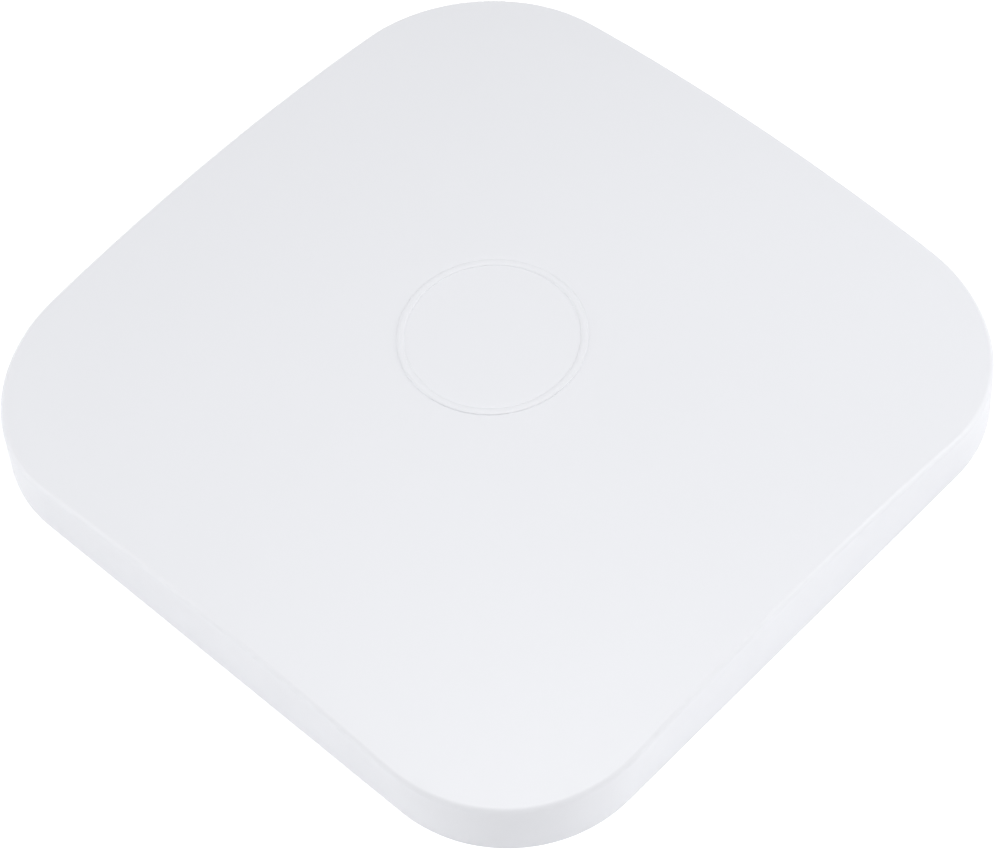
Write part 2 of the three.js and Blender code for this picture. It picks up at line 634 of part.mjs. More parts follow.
// A network socket with its mouth on y = 0 towards +Y.
function ethernetJack() {
  const body = block(ETHERNET_WIDTH, ETHERNET_LENGTH, ETHERNET_HEIGHT, 0, -ETHERNET_LENGTH / 2);
  const socketBottom = (ETHERNET_HEIGHT - SOCKET_HEIGHT) / 2 + 0.8;
  const [half, latch] = [SOCKET_WIDTH / 2, LATCH_WIDTH / 2];
  const mouth = new THREE.Shape([
    new THREE.Vector2(-half, socketBottom),
    new THREE.Vector2(-latch, socketBottom),
    new THREE.Vector2(-latch, socketBottom - LATCH_HEIGHT),
    new THREE.Vector2(latch, socketBottom - LATCH_HEIGHT),
    new THREE.Vector2(latch, socketBottom),
    new THREE.Vector2(half, socketBottom),
    new THREE.Vector2(half, socketBottom + SOCKET_HEIGHT),
    new THREE.Vector2(-half, socketBottom + SOCKET_HEIGHT),
  ]);
  const mouthSolid = extrude(mouth, SOCKET_DEPTH + 1).rotate([90, 0, 0]).translate([0, 1, 0]);
  const contacts = [];
  const contactBottom = socketBottom + SOCKET_HEIGHT - 1.2;
  for (let i = 0; i < CONTACT_COUNT; i++) {
    const x = (i - (CONTACT_COUNT - 1) / 2) * CONTACT_PITCH;
    contacts.push(block(CONTACT_WIDTH, SOCKET_DEPTH - 3, 0.5, x, -SOCKET_DEPTH / 2 - 1.5, contactBottom));
    contacts.push(block(CONTACT_WIDTH, 0.6, 1.4, x, -SOCKET_DEPTH + 0.1, contactBottom));
  }
  return join(cut(body, mouthSolid), ...contacts);
}

// A power socket with its mouth on y = 0 towards +Y.
function powerJack() {
  const axis = POWER_JACK_HEIGHT / 2 + 0.8;
  const body = block(POWER_JACK_WIDTH, POWER_JACK_LENGTH, POWER_JACK_HEIGHT, 0, -POWER_JACK_LENGTH / 2);
  const bore = rod(POWER_BORE_RADIUS, POWER_BORE_DEPTH + 1, 0, -POWER_BORE_DEPTH, axis, 20);
  const pin = rod(POWER_PIN_RADIUS, POWER_BORE_DEPTH, 0, -POWER_BORE_DEPTH - 1, axis, 10);
  return join(cut(body, bore), pin);
}

// A round button that sticks out of the bay's back wall, with a flange behind the wall.
function pushButton() {
  const flangeRadius = BUTTON_RADIUS + BUTTON_FLANGE;
  const start = BUTTON_PROUD - BUTTON_LENGTH;
  const flangePlace = -BAY_WALL - PORT_GAP - BUTTON_FLANGE;
  return join(
    rod(BUTTON_RADIUS, BUTTON_LENGTH, 0, start, 0),
    rod(flangeRadius, BUTTON_FLANGE, 0, flangePlace, 0),
  );
}

function shieldCan() {
  const { width, length, height } = SHIELD_SIZE;
  const inside = block(width - 2 * SHIELD_WALL, length - 2 * SHIELD_WALL, height - SHIELD_WALL + 1, 0, 0, -1);
  return cut(block(width, length, height), inside);
}

// The sink's own frame has its underside at 0 and its middle at the origin.
function heatSink() {
  const { width, length, thickness } = HEAT_SINK_SIZE;
  const plate = block(width, length, thickness);
  const pitch = (width - FIN_THICKNESS) / (FIN_COUNT - 1);
  const finLength = length - 2 * FIN_SETBACK;
  const fins = [];
  for (let i = 0; i < FIN_COUNT; i++) {
    const x = -width / 2 + FIN_THICKNESS / 2 + i * pitch;
    if (Math.abs(Math.abs(x) - HEAT_SINK_SCREW_X) > SCREW_HEAD_RADIUS + FIN_THICKNESS)
      fins.push(block(FIN_THICKNESS, finLength, FIN_HEIGHT + thickness / 2, x, 0, thickness / 2));
  }
  const sides = [-1, 1];
  const footHeight = HEAT_SINK_BOTTOM - SEAT_GAP + thickness / 2;
  const feet = sides.map((side) =>
    post(BOSS_RADIUS - 0.4, footHeight, side * HEAT_SINK_SCREW_X, 0, SEAT_GAP - HEAT_SINK_BOTTOM),
  );
  const holes = sides.map((side) =>
    post(SCREW_HOLE_RADIUS, CASE_HEIGHT, side * HEAT_SINK_SCREW_X, 0, -CASE_HEIGHT / 2),
  );
  return cut(join(plate, ...fins, ...feet), ...holes);
}

// A pan-head screw whose head bears on z = 0 from above.
function screw(length) {
  const head = post(SCREW_HEAD_RADIUS, SCREW_HEAD_HEIGHT);
  const shank = post(SCREW_RADIUS, length + 0.5, 0, 0, -length);
  const recessDepth = SCREW_HEAD_HEIGHT * 0.6;
  const recess = [
    block(RECESS_LENGTH, RECESS_WIDTH, recessDepth + 1, 0, 0, SCREW_HEAD_HEIGHT - recessDepth),
    block(RECESS_WIDTH, RECESS_LENGTH, recessDepth + 1, 0, 0, SCREW_HEAD_HEIGHT - recessDepth),
  ];
  return cut(join(head, shank), ...recess);
}

function electrolyticCapacitor() {
  const can = post(CAPACITOR_RADIUS, CAPACITOR_HEIGHT, 0, 0, 0, 16);
  const [outer, inner] = [CAPACITOR_RADIUS + 1, CAPACITOR_RADIUS - 0.4];
  const groove = cut(post(outer, 0.8, 0, 0, 1.6, 16), post(inner, 0.8, 0, 0, 1.6, 16));
  return cut(can, groove);
}

function powerInductor() {
  const body = extrude(roundedRectangle(INDUCTOR_WIDTH, INDUCTOR_WIDTH, 1.5), INDUCTOR_HEIGHT, 0, 3);
  return cut(body, post(INDUCTOR_WIDTH / 2 - 1.6, 1, 0, 0, INDUCTOR_HEIGHT - 0.4, 16));
}

// ---- Antennas and their leads ----

function antennaPlaces() {
  const places = [];
  for (const side of [-1, 1]) {
    const name = side < 0 ? "left" : "right";
    places.push({ name, side, band: "low_band", x: side * (ANTENNA_X - ANTENNA_FOOT / 2), y: -ANTENNA_Y });
    places.push({ name, side, band: "high_band", x: side * (ANTENNA_X - ANTENNA_FOOT / 2), y: ANTENNA_Y });
  }
  return places;
}

// A bent sheet: foot, leg and arm. Its foot's middle is at the origin and the arm points to +X.
function antenna(length) {
  const [sheet, leg] = [ANTENNA_SHEET, ANTENNA_FOOT / 2];
  const profile = [
    [-ANTENNA_FOOT / 2, 0],
    [leg, 0],
    [leg, ANTENNA_RISE - sheet],
    [leg + ANTENNA_ARM, ANTENNA_RISE - sheet],
    [leg + ANTENNA_ARM, ANTENNA_RISE],
    [leg - sheet, ANTENNA_RISE],
    [leg - sheet, sheet],
    [-ANTENNA_FOOT / 2, sheet],
  ];
  const shape = new THREE.Shape(profile.map(([x, z]) => new THREE.Vector2(x, z)));
  const sheetSolid = extrude(shape, length).translate([0, 0, -length / 2]).rotate([90, 0, 0]);
  const footHole = post(STAKE_RADIUS + PORT_GAP, 4, 0, 0, -2);
  const slot = block(ANTENNA_ARM - 2, 2, 4, leg + ANTENNA_ARM / 2 + 1, -length / 5, ANTENNA_RISE - 2);
  const ends = [-1, 1].map((side) =>
    block(ANTENNA_FOOT + 2, length, ANTENNA_RISE - 2, -1, side * (length / 2 + 4), -1),
  );
  return cut(sheetSolid, footHole, slot, ...ends);
}

// A thin coaxial lead from an antenna's leg to the plug over its socket on the board.
function antennaLead(side, band) {
  const socketY = RF_SOCKET_Y[band];
  const startY = band === "low_band" ? -ANTENNA_Y + 4 : ANTENNA_Y - 6;
  const height = BOARD_TOP + LEAD_HEIGHT;
  const startX = (ANTENNA_X - ANTENNA_SHEET + BOARD_WIDTH / 2) / 2; // between the leg and the board
  const run = BOARD_WIDTH / 2 - 4;
  const [leave, arrive] = band === "low_band" ? [2, -0.6] : [-4, 4];
  const points = [
    [startX, startY, BOARD_TOP - 1],
    [startX, startY, BOARD_TOP + 1],
    [run + 1, startY + leave, height + 0.4],
    [run - 2, (startY + socketY) / 2, height],
    [run - 5, socketY + arrive, height],
    [RF_SOCKET_X, socketY, height],
  ];
  const route = new THREE.CatmullRomCurve3(points.map(([x, y, z]) => new THREE.Vector3(side * x, y, z)));
  const section = new THREE.Shape();
  section.absarc(0, 0, LEAD_RADIUS, 0, 2 * Math.PI);
  const steps = Math.ceil(route.getLength() / LEAD_STEP);
  const geometry = new THREE.ExtrudeGeometry(section, { steps, extrudePath: route, curveSegments: 4 });
  const plug = post(PLUG_RADIUS, 2 * LEAD_RADIUS, side * RF_SOCKET_X, socketY, height - LEAD_RADIUS);
  return join(solid(geometry), plug);
}

const rfSocket = () => join(block(2.6, 2.6, 0.5), post(1, 0.9));

// ---- Assembly ----

const part = new THREE.Group();
const board = new THREE.Group();
board.position.z = BOARD_TOP;
part.add(board);

function place(parent, name, made, material, x = 0, y = 0, z = 0) {
  const { numProp, vertProperties, triVerts } = made.getMesh();
  const positions = new Float32Array((vertProperties.length / numProp) * 3);
  for (let i = 0; i < positions.length / 3; i++)
    positions.set(vertProperties.subarray(i * numProp, i * numProp + 3), i * 3);
  const geometry = new THREE.BufferGeometry();
  geometry.setAttribute("position", new THREE.BufferAttribute(positions, 3));
  geometry.setIndex(new THREE.BufferAttribute(new Uint32Array(triVerts), 1));
  geometry.computeVertexNormals();
  const mesh = new THREE.Mesh(geometry, material);
  mesh.name = name;
  mesh.position.set(x, y, z);
  parent.add(mesh);
  return mesh;
}

function placeCase() {
  place(part, "top_cover", topCover(), MATERIALS.caseWhite);
  place(part, "base_shell", baseShell(), MATERIALS.caseWhite);
  place(part, "mounting_plate", mountingPlate(), MATERIALS.bracketWhite);
  place(part, "cable_knockout", cableKnockout(), MATERIALS.caseWhite);
  const { width, length, thickness, corner } = LABEL_SIZE;
  const label = extrude(roundedRectangle(width, length, corner), thickness, 0, 2);
  place(part, "rear_label", label, MATERIALS.label, 0, LABEL_Y, FLOOR_RECESS);
  corners(CASE_SCREW_PLACE).forEach(([x, y], i) => {
    const made = screw(SCREW_LENGTH.case);
    const mesh = place(part, `case_screw_${i + 1}`, made, MATERIALS.steel, x, y, SCREW_SEAT - SEAT_GAP);
    mesh.rotation.x = Math.PI;
  });
}

function placePorts() {
  const names = ["ethernet_jack_in", "ethernet_jack_out"];
  names.forEach((name, i) =>
    place(board, name, ethernetJack(), MATERIALS.tin, ETHERNET_X[i], BAY_BACK, SEAT_GAP),
  );
  const magnetics = ["lan_transformer_in", "lan_transformer_out"];
  const magneticsY = BAY_BACK - ETHERNET_LENGTH - TRANSFORMER_GAP - TRANSFORMER_SIZE.length / 2;
  magnetics.forEach((name, i) =>
    place(board, name, box(TRANSFORMER_SIZE), MATERIALS.blackPlastic, ETHERNET_X[i], magneticsY, SEAT_GAP),
  );
  place(board, "dc_power_jack", powerJack(), MATERIALS.blackPlastic, POWER_JACK_X, BAY_BACK, SEAT_GAP);
  const switchFace = BUTTON_PROUD - BUTTON_LENGTH - BUTTON_TRAVEL - SEAT_GAP;
  for (const [name, x] of Object.entries(BUTTON_X)) {
    const switchY = BAY_BACK + switchFace - SWITCH_SIZE.length / 2;
    place(board, `${name}_switch`, box(SWITCH_SIZE), MATERIALS.blackPlastic, x, switchY, SEAT_GAP);
    const axis = buttonHeight() - BOARD_TOP;
    place(board, `${name}_button`, pushButton(), MATERIALS.blackPlastic, x, BAY_BACK, axis);
  }
}

function placeElectronics() {
  place(board, "main_board", mainBoard(), MATERIALS.boardGreen);
  const shields = ["radio_left", "processor", "radio_right"];
  shields.forEach((name, i) => {
    const [x, y] = [(i - 1) * SHIELD_PITCH, HEAT_SINK_Y];
    place(board, `${name}_chip`, box(CHIP_SIZE), MATERIALS.blackPlastic, x, y, SEAT_GAP);
    place(board, `${name}_shield`, shieldCan(), MATERIALS.tin, x, y, SEAT_GAP);
    place(board, `${name}_thermal_pad`, box(PAD_SIZE), MATERIALS.greyRubber, x, y, PAD_BOTTOM);
  });
  place(board, "heat_sink", heatSink(), MATERIALS.aluminium, 0, HEAT_SINK_Y, HEAT_SINK_BOTTOM);
  const sinkScrewZ = HEAT_SINK_BOTTOM + HEAT_SINK_SIZE.thickness + SEAT_GAP;
  for (const [name, side] of [["left", -1], ["right", 1]]) {
    const x = side * HEAT_SINK_SCREW_X;
    const made = screw(SCREW_LENGTH.heatSink);
    place(board, `heat_sink_screw_${name}`, made, MATERIALS.steel, x, HEAT_SINK_Y, sinkScrewZ);
  }
  corners(BOARD_SCREW_X, BOARD_SCREW_Y).forEach(([x, y], i) =>
    place(board, `board_screw_${i + 1}`, screw(SCREW_LENGTH.board), MATERIALS.steel, x, y, SEAT_GAP),
  );
  place(board, "memory_chip", box(MEMORY_SIZE), MATERIALS.blackPlastic, 14, -27, SEAT_GAP);
  place(board, "flash_chip", box(FLASH_SIZE), MATERIALS.blackPlastic, 28, -27, SEAT_GAP);
  place(board, "network_switch_chip", box(NETWORK_CHIP_SIZE), MATERIALS.blackPlastic, 42, -26, SEAT_GAP);
  place(board, "capacitor_1", electrolyticCapacitor(), MATERIALS.tin, -WING_MIDDLE, -8, SEAT_GAP);
  place(board, "capacitor_2", electrolyticCapacitor(), MATERIALS.tin, -WING_MIDDLE, 4, SEAT_GAP);
  place(board, "inductor_1", powerInductor(), MATERIALS.blackPlastic, -WING_MIDDLE, 18, SEAT_GAP);
  place(board, "inductor_2", powerInductor(), MATERIALS.blackPlastic, -WING_MIDDLE, 32, SEAT_GAP);
  const { x, y } = LIGHT_PIPE_PLACE;
  place(board, "status_led", box(LED_SIZE), MATERIALS.clear, x, y, SEAT_GAP);
  const pipeTop = domeHeight({ x: x + LIGHT_PIPE_RADIUS, y: y + LIGHT_PIPE_RADIUS }, LIGHT_SKIN) - PORT_GAP;
  const pipe = post(LIGHT_PIPE_RADIUS, pipeTop - BOARD_TOP - LIGHT_PIPE_BOTTOM);
  place(board, "light_pipe", pipe, MATERIALS.clear, x, y, LIGHT_PIPE_BOTTOM);
}

function placeAntennas() {
  for (const { name, side, band, x, y } of antennaPlaces()) {
    const end = `${band}_${name}`;
    const sheet = antenna(ANTENNA_LENGTH[band]);
    const mesh = place(part, `antenna_${end}`, sheet, MATERIALS.tin, x, y, FLOOR_TOP + SEAT_GAP);
    if (side < 0) mesh.rotation.z = Math.PI;
    place(part, `antenna_lead_${end}`, antennaLead(side, band), MATERIALS.lead);
    const [socketX, socketY] = [side * RF_SOCKET_X, RF_SOCKET_Y[band]];
    place(board, `rf_socket_${end}`, rfSocket(), MATERIALS.tin, socketX, socketY, SEAT_GAP);
  }
}

placeCase();
placePorts();
placeElectronics();
placeAntennas();

export default part;
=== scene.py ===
import json
import math

import bmesh
import bpy
from mathutils import Matrix, Vector


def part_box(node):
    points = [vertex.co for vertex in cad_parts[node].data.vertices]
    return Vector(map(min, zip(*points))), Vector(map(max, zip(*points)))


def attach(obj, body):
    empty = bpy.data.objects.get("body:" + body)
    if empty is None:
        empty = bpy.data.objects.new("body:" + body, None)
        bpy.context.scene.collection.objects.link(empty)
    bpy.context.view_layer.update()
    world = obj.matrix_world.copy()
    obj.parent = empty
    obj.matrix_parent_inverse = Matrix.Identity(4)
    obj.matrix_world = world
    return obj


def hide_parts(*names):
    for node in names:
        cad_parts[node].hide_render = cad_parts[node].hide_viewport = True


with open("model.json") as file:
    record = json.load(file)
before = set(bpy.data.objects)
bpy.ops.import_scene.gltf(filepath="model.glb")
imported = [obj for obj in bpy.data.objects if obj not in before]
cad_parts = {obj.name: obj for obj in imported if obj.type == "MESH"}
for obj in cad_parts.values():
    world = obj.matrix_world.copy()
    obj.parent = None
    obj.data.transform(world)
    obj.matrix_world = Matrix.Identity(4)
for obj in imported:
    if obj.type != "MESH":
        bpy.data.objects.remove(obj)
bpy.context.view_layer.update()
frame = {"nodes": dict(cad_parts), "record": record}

# A domed, square ceiling access point with round corners, lying on its back. Metres.
MM = 0.001

# ---- The case's form ----

_, COVER_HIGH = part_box("top_cover")
BASE_LOW, BASE_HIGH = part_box("base_shell")
_, PLATE_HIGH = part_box("mounting_plate")
HALF = COVER_HIGH.x
HEIGHT = COVER_HIGH.z
CORNER_RADIUS = 39 * MM
SIDE_HEIGHT = 21 * MM
RIM_FILLET = 1.2 * MM
SIDE_TAPER = 1 * MM
FOOT_CORNER_RADIUS = 35 * MM
WALL = 2.2 * MM
DOME_RISE = HEIGHT - SIDE_HEIGHT
DOME_RADIUS = (HALF ** 2 + DOME_RISE ** 2) / (2 * DOME_RISE)
EMBLEM_RADIUS = 21 * MM
EMBLEM_WIDTH = 1.8 * MM
EMBLEM_HEIGHT = 0.35 * MM

# ---- The base and the twist lock ----

SEAT_GAP = 0.1 * MM
SEAM_GAP = 0.4 * MM
FLOOR_BOTTOM = BASE_LOW.z
BASE_WALL = 2 * MM
FLOOR_TOP = FLOOR_BOTTOM + BASE_WALL
TRAY_HALF = BASE_HIGH.x
TRAY_CORNER = (CORNER_RADIUS + FOOT_CORNER_RADIUS) / 2 - WALL - SEAM_GAP
LIP_HEIGHT = 5 * MM
TRAY_TOP = FLOOR_TOP + LIP_HEIGHT
LIP_WALL = 1.5 * MM
BOSS_RADIUS = 3.6 * MM
CASE_SCREW_INSET = 28.5 * MM
CASE_SCREW_PLACE = HALF - CASE_SCREW_INSET
PLATE_RADIUS = PLATE_HIGH.x
PLATE_THICKNESS = 2.4 * MM
PLATE_RIM_WIDTH = 3.2 * MM
TAB_REACH = 4.4 * MM
TAB_THICKNESS = 1.5 * MM
TAB_ANGLE = 14
TAB_BOTTOM = PLATE_HIGH.z - TAB_THICKNESS
TAB_GAP = 1.1 * MM
POCKET_RADIUS = PLATE_RADIUS + TAB_REACH + TAB_GAP
POCKET_DEPTH = 5.5 * MM
HOOK_THICKNESS = 1.4 * MM
VENT_COUNT = 9
VENT_PITCH = 5 * MM
VENT_WIDTH = 2.2 * MM
BAY_WIDTH = 72 * MM
BAY_BACK, BAY_FRONT = -2 * MM, 34 * MM
BAY_WALL = 1.5 * MM
BAY_TOP = BASE_HIGH.z - BAY_WALL
CHANNEL_WIDTH = 16 * MM
CHANNEL_DEPTH = 10.5 * MM
PORT_GAP = 0.3 * MM
BELOW = -1 * MM  # where a tool that cuts upwards through the underside starts


def dome_height(x, y, depth=0.0):
    """The height of the dome, or of the face that lies depth inside it."""
    radius = DOME_RADIUS - depth
    return HEIGHT - DOME_RADIUS + math.sqrt(radius ** 2 - x ** 2 - y ** 2)


def middle_of(low, high):
    """The middle between two corners of a box."""
    return (low + high) / 2


def corners(x, y=None):
    """The four places at x and y on either side of the middle. A square needs only x."""
    y = x if y is None else y
    return [(x, y), (-x, y), (-x, -y), (x, -y)]


# ---- Modelling helpers ----

SELECT_MODES = {"verts": "VERT", "edges": "EDGE", "faces": "FACE"}
FACET_MERGE = 0.002 * MM
FLAT_ANGLE = 0.2  # degrees that two faces may turn and still be one


def activate(*pieces):
    bpy.ops.object.select_all(action="DESELECT")
    for piece in pieces:
        piece.select_set(True)
    bpy.context.view_layer.objects.active = pieces[0]


def take(name):
    """Names the piece that was just added and returns it."""
    piece = bpy.context.object
    piece.name = piece.data.name = name
    return piece


def edit(piece):
    activate(piece)
    bpy.ops.object.mode_set(mode="EDIT")


def leave():
    bpy.ops.object.mode_set(mode="OBJECT")


def apply_place(piece):
    """Puts the piece's place, turn and scale into its mesh."""
    activate(piece)
    bpy.ops.object.transform_apply(location=True, rotation=True, scale=True)


def pick(piece, kind, test):
    """Selects only the vertices, edges or faces that pass the test."""
    bpy.ops.mesh.select_mode(type=SELECT_MODES[kind])
    bpy.ops.mesh.select_all(action="DESELECT")
    mesh = bmesh.from_edit_mesh(piece.data)
    for element in getattr(mesh, kind):
        if test(element):
            element.select = True
    mesh.select_flush_mode()
    bmesh.update_edit_mesh(piece.data)


def modify(piece, kind, **settings):
    """Adds a modifier, gives it its settings and applies it."""
    activate(piece)
    modifier = piece.modifiers.new(kind.title(), kind)
    for key, value in settings.items():
        setattr(modifier, key, value)
    bpy.ops.object.modifier_apply(modifier=modifier.name)


def combine(piece, tool, operation):
    """Joins, cuts or trims a piece with a tool, which is used up."""
    modify(piece, "BOOLEAN", object=tool, operation=operation, solver="EXACT")
    bpy.data.objects.remove(tool, do_unlink=True)


def gather(pieces):
    """Makes one object of several that don't touch each other."""
    activate(*pieces)
    if len(pieces) > 1:
        bpy.ops.object.join()
    return pieces[0]


def duplicate(piece, name):
    """A copy with its own mesh, still at the piece's place."""
    activate(piece)
    bpy.ops.object.duplicate(linked=False)
    return take(name)


def block(x_range, y_range, z_range, name="block_tool"):
    """A box between two values on each axis."""
    ranges = (x_range, y_range, z_range)
    bpy.ops.object.select_all(action="DESELECT")
    bpy.ops.mesh.primitive_cube_add(
        size=1,
        location=[(low + high) / 2 for low, high in ranges],
        scale=[high - low for low, high in ranges],
    )
    return take(name)


def post(radius, z_range, x=0.0, y=0.0, steps=32, name="post_tool"):
    """A round post on the Z axis between two heights."""
    bottom, top = z_range
    bpy.ops.object.select_all(action="DESELECT")
    bpy.ops.mesh.primitive_cylinder_add(
        radius=radius, depth=top - bottom, vertices=steps, location=(x, y, (bottom + top) / 2)
    )
    return take(name)


def rod(radius, y_range, x, z, steps=48, name="rod_tool"):
    """A round rod along the Y axis between two places."""
    back, front = y_range
    bpy.ops.object.select_all(action="DESELECT")
    bpy.ops.mesh.primitive_cylinder_add(
        radius=radius, depth=front - back, vertices=steps,
        location=(x, (back + front) / 2, z), rotation=(math.pi / 2, 0, 0),
    )
    return take(name)


def rounded_slab(half_sides, corner, z_range, x=0.0, y=0.0, segments=12, name="slab_tool"):
    """An upright slab whose outline is a rectangle with round corners."""
    half_width, half_length = half_sides
    bottom, top = z_range
    bpy.ops.object.select_all(action="DESELECT")
    bpy.ops.mesh.primitive_plane_add(size=2, location=(0, 0, 0))
    slab = take(name)
    edit(slab)
    bpy.ops.mesh.select_all(action="SELECT")
    bpy.ops.transform.resize(value=(half_width, half_length, 1), center_override=(0, 0, 0))
    bpy.ops.mesh.bevel(affect="VERTICES", offset=corner, segments=segments, profile=0.5)
    bpy.ops.mesh.select_all(action="SELECT")
    bpy.ops.transform.translate(value=(x, y, bottom))
    bpy.ops.mesh.extrude_region_move(TRANSFORM_OT_translate={"value": (0, 0, top - bottom)})
    bpy.ops.mesh.select_all(action="SELECT")
    bpy.ops.mesh.normals_make_consistent(inside=False)
    leave()
    return slab


def ring_sector(inner, outer, start, end, z_range, steps=12, name="sector_tool"):
    """Part of a ring between two radii and two angles in degrees, spun from its section."""
    bottom, top = z_range
    bpy.ops.object.select_all(action="DESELECT")
    bpy.ops.mesh.primitive_plane_add(size=1, location=(0, 0, 0))
    sector = take(name)
    edit(sector)
    bpy.ops.mesh.select_all(action="SELECT")
    bpy.ops.transform.resize(value=(outer - inner, top - bottom, 1), center_override=(0, 0, 0))
    leave()
    sector.rotation_euler = (math.pi / 2, 0, 0)
    sector.location = ((inner + outer) / 2, 0, (bottom + top) / 2)
    apply_place(sector)
    edit(sector)
    bpy.ops.mesh.select_all(action="SELECT")
    bpy.ops.mesh.spin(steps=steps, angle=math.radians(end - start), center=(0, 0, 0), axis=(0, 0, 1))
    bpy.ops.mesh.select_all(action="SELECT")
    bpy.ops.mesh.remove_doubles(threshold=FACET_MERGE / 2)
    bpy.ops.mesh.normals_make_consistent(inside=False)
    leave()
    # The spin may run either way round, so the end that comes first is turned to the start.
    first = min(math.atan2(vert.co.y, vert.co.x) for vert in sector.data.vertices)
    sector.rotation_euler = (0, 0, math.radians(start) - first)
    apply_place(sector)
    return sector


def ease(piece, width, segments, angle=60):
    """Rounds the edges that are sharper than an angle in degrees."""
    modify(
        piece, "BEVEL", width=width, segments=segments, limit_method="ANGLE",
        angle_limit=math.radians(angle), use_clamp_overlap=True,
    )


def soften(piece, width, segments=2, angle=35):
    """Merges flat facets, then rounds the edges that are left."""
    edit(piece)
    bpy.ops.mesh.select_all(action="SELECT")
    bpy.ops.mesh.remove_doubles(threshold=FACET_MERGE)
    bpy.ops.mesh.dissolve_limited(angle_limit=math.radians(FLAT_ANGLE))
    leave()
    ease(piece, width, segments, angle)


def settle(piece, angle=32):
    """Puts the piece's place into its mesh and shades it."""
    apply_place(piece)
    bpy.ops.object.shade_smooth_by_angle(angle=math.radians(angle))
    modify(piece, "WEIGHTED_NORMAL", keep_sharp=True)


def dress(piece, body, slot, material, *nodes):
    """Gives a piece its finish and its body, and hides the CAD nodes that it stands for."""
    piece.data.materials.clear()
    piece.data.materials.append(material)
    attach(piece, body)
    if nodes:
        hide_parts(*nodes)
    return piece


# ---- Cover ----

CORNER_CUTS = 28
SIDE_CUTS = 30
RING_WIDTHS = [4 * MM, 5 * MM] + 4 * [6 * MM]
RING_WIDTHS.append(CORNER_RADIUS - sum(RING_WIDTHS) - 0.02 * MM)
CLOSED_ARC = 0.1 * MM  # more than what is left of a corner's arc inside the last ring
CAST_PASSES = 3
FILLET_CUTS = 6
RIM_ANGLE = 40
FOOT_BAND = 0.2 * MM
BOSS_BOTTOM = FLOOR_TOP + BASE_WALL + SEAT_GAP
PIPE_LOW, PIPE_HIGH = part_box("light_pipe")
PIPE_PLACE = middle_of(PIPE_LOW, PIPE_HIGH).xy
PIPE_HOLE_RADIUS = (PIPE_HIGH.x - PIPE_LOW.x) / 2 + PORT_GAP
LIGHT_SKIN = 1 * MM
SLEEVE_LENGTH = 4 * MM
RIB_PLACES = [-36 * MM, -12 * MM, 12 * MM, 36 * MM]
RIB_THICKNESS = 1.4 * MM
RIB_REACH = 3 * MM
RIB_LIP_GAP = 1 * MM
NOTCH_DEPTH = 9 * MM
FLANGE_DEPTH = 6 * MM
PILOT_RADIUS = 1.2 * MM
PILOT_TOP = 14 * MM


def rounded_outline(half, corner, z, name):
    """A square outline with round corners, its sides divided evenly."""
    bpy.ops.object.select_all(action="DESELECT")
    bpy.ops.mesh.primitive_plane_add(size=2 * half, location=(0, 0, 0))
    outline = take(name)
    edit(outline)
    bpy.ops.mesh.select_all(action="SELECT")
    bpy.ops.transform.translate(value=(0, 0, z))
    bpy.ops.mesh.bevel(affect="VERTICES", offset=corner, segments=CORNER_CUTS, profile=0.5)
    pick(outline, "edges", lambda edge: edge.calc_length() > corner)
    bpy.ops.mesh.subdivide(number_cuts=SIDE_CUTS)
    leave()
    return outline


def is_hole_edge(edge):
    """Whether an edge is on the square hole in the middle of the dome's rings."""
    reach = HALF - CORNER_RADIUS + 1 * MM
    near = all(abs(across) < reach for vert in edge.verts for across in vert.co.xy)
    return edge.is_boundary and near


def dome(name):
    """The dome's skin: a rounded square in rings around an even grid, laid on its sphere."""
    centre = HEIGHT - DOME_RADIUS
    skin = rounded_outline(HALF, CORNER_RADIUS, SIDE_HEIGHT - centre, name)
    edit(skin)
    for width in RING_WIDTHS:
        pick(skin, "faces", lambda face: len(face.verts) > 4)
        bpy.ops.mesh.inset(thickness=width, depth=0, use_even_offset=True)
    # The corners' arcs have closed to points, which leaves a square for an even grid.
    pick(skin, "faces", lambda face: len(face.verts) > 4)
    bpy.ops.mesh.remove_doubles(threshold=CLOSED_ARC)
    pick(skin, "faces", lambda face: len(face.verts) > 4)
    bpy.ops.mesh.delete(type="ONLY_FACE")
    pick(skin, "edges", is_hole_edge)
    bpy.ops.mesh.fill_grid(span=SIDE_CUTS + 1)
    leave()
    # Cast moves the points only in height here, so it takes a few passes to reach the sphere.
    for _ in range(CAST_PASSES):
        modify(
            skin, "CAST", cast_type="SPHERE", factor=1, size=DOME_RADIUS,
            use_radius_as_size=False, use_x=False, use_y=False,
        )
    skin.location.z = centre
    apply_place(skin)
    return skin


def is_rim(edge):
    """Whether an edge is on the sharp outer line between the dome and the side."""
    high = all(vert.co.z > SIDE_HEIGHT / 2 for vert in edge.verts)
    return high and edge.is_convex and edge.calc_face_angle() > math.radians(RIM_ANGLE)


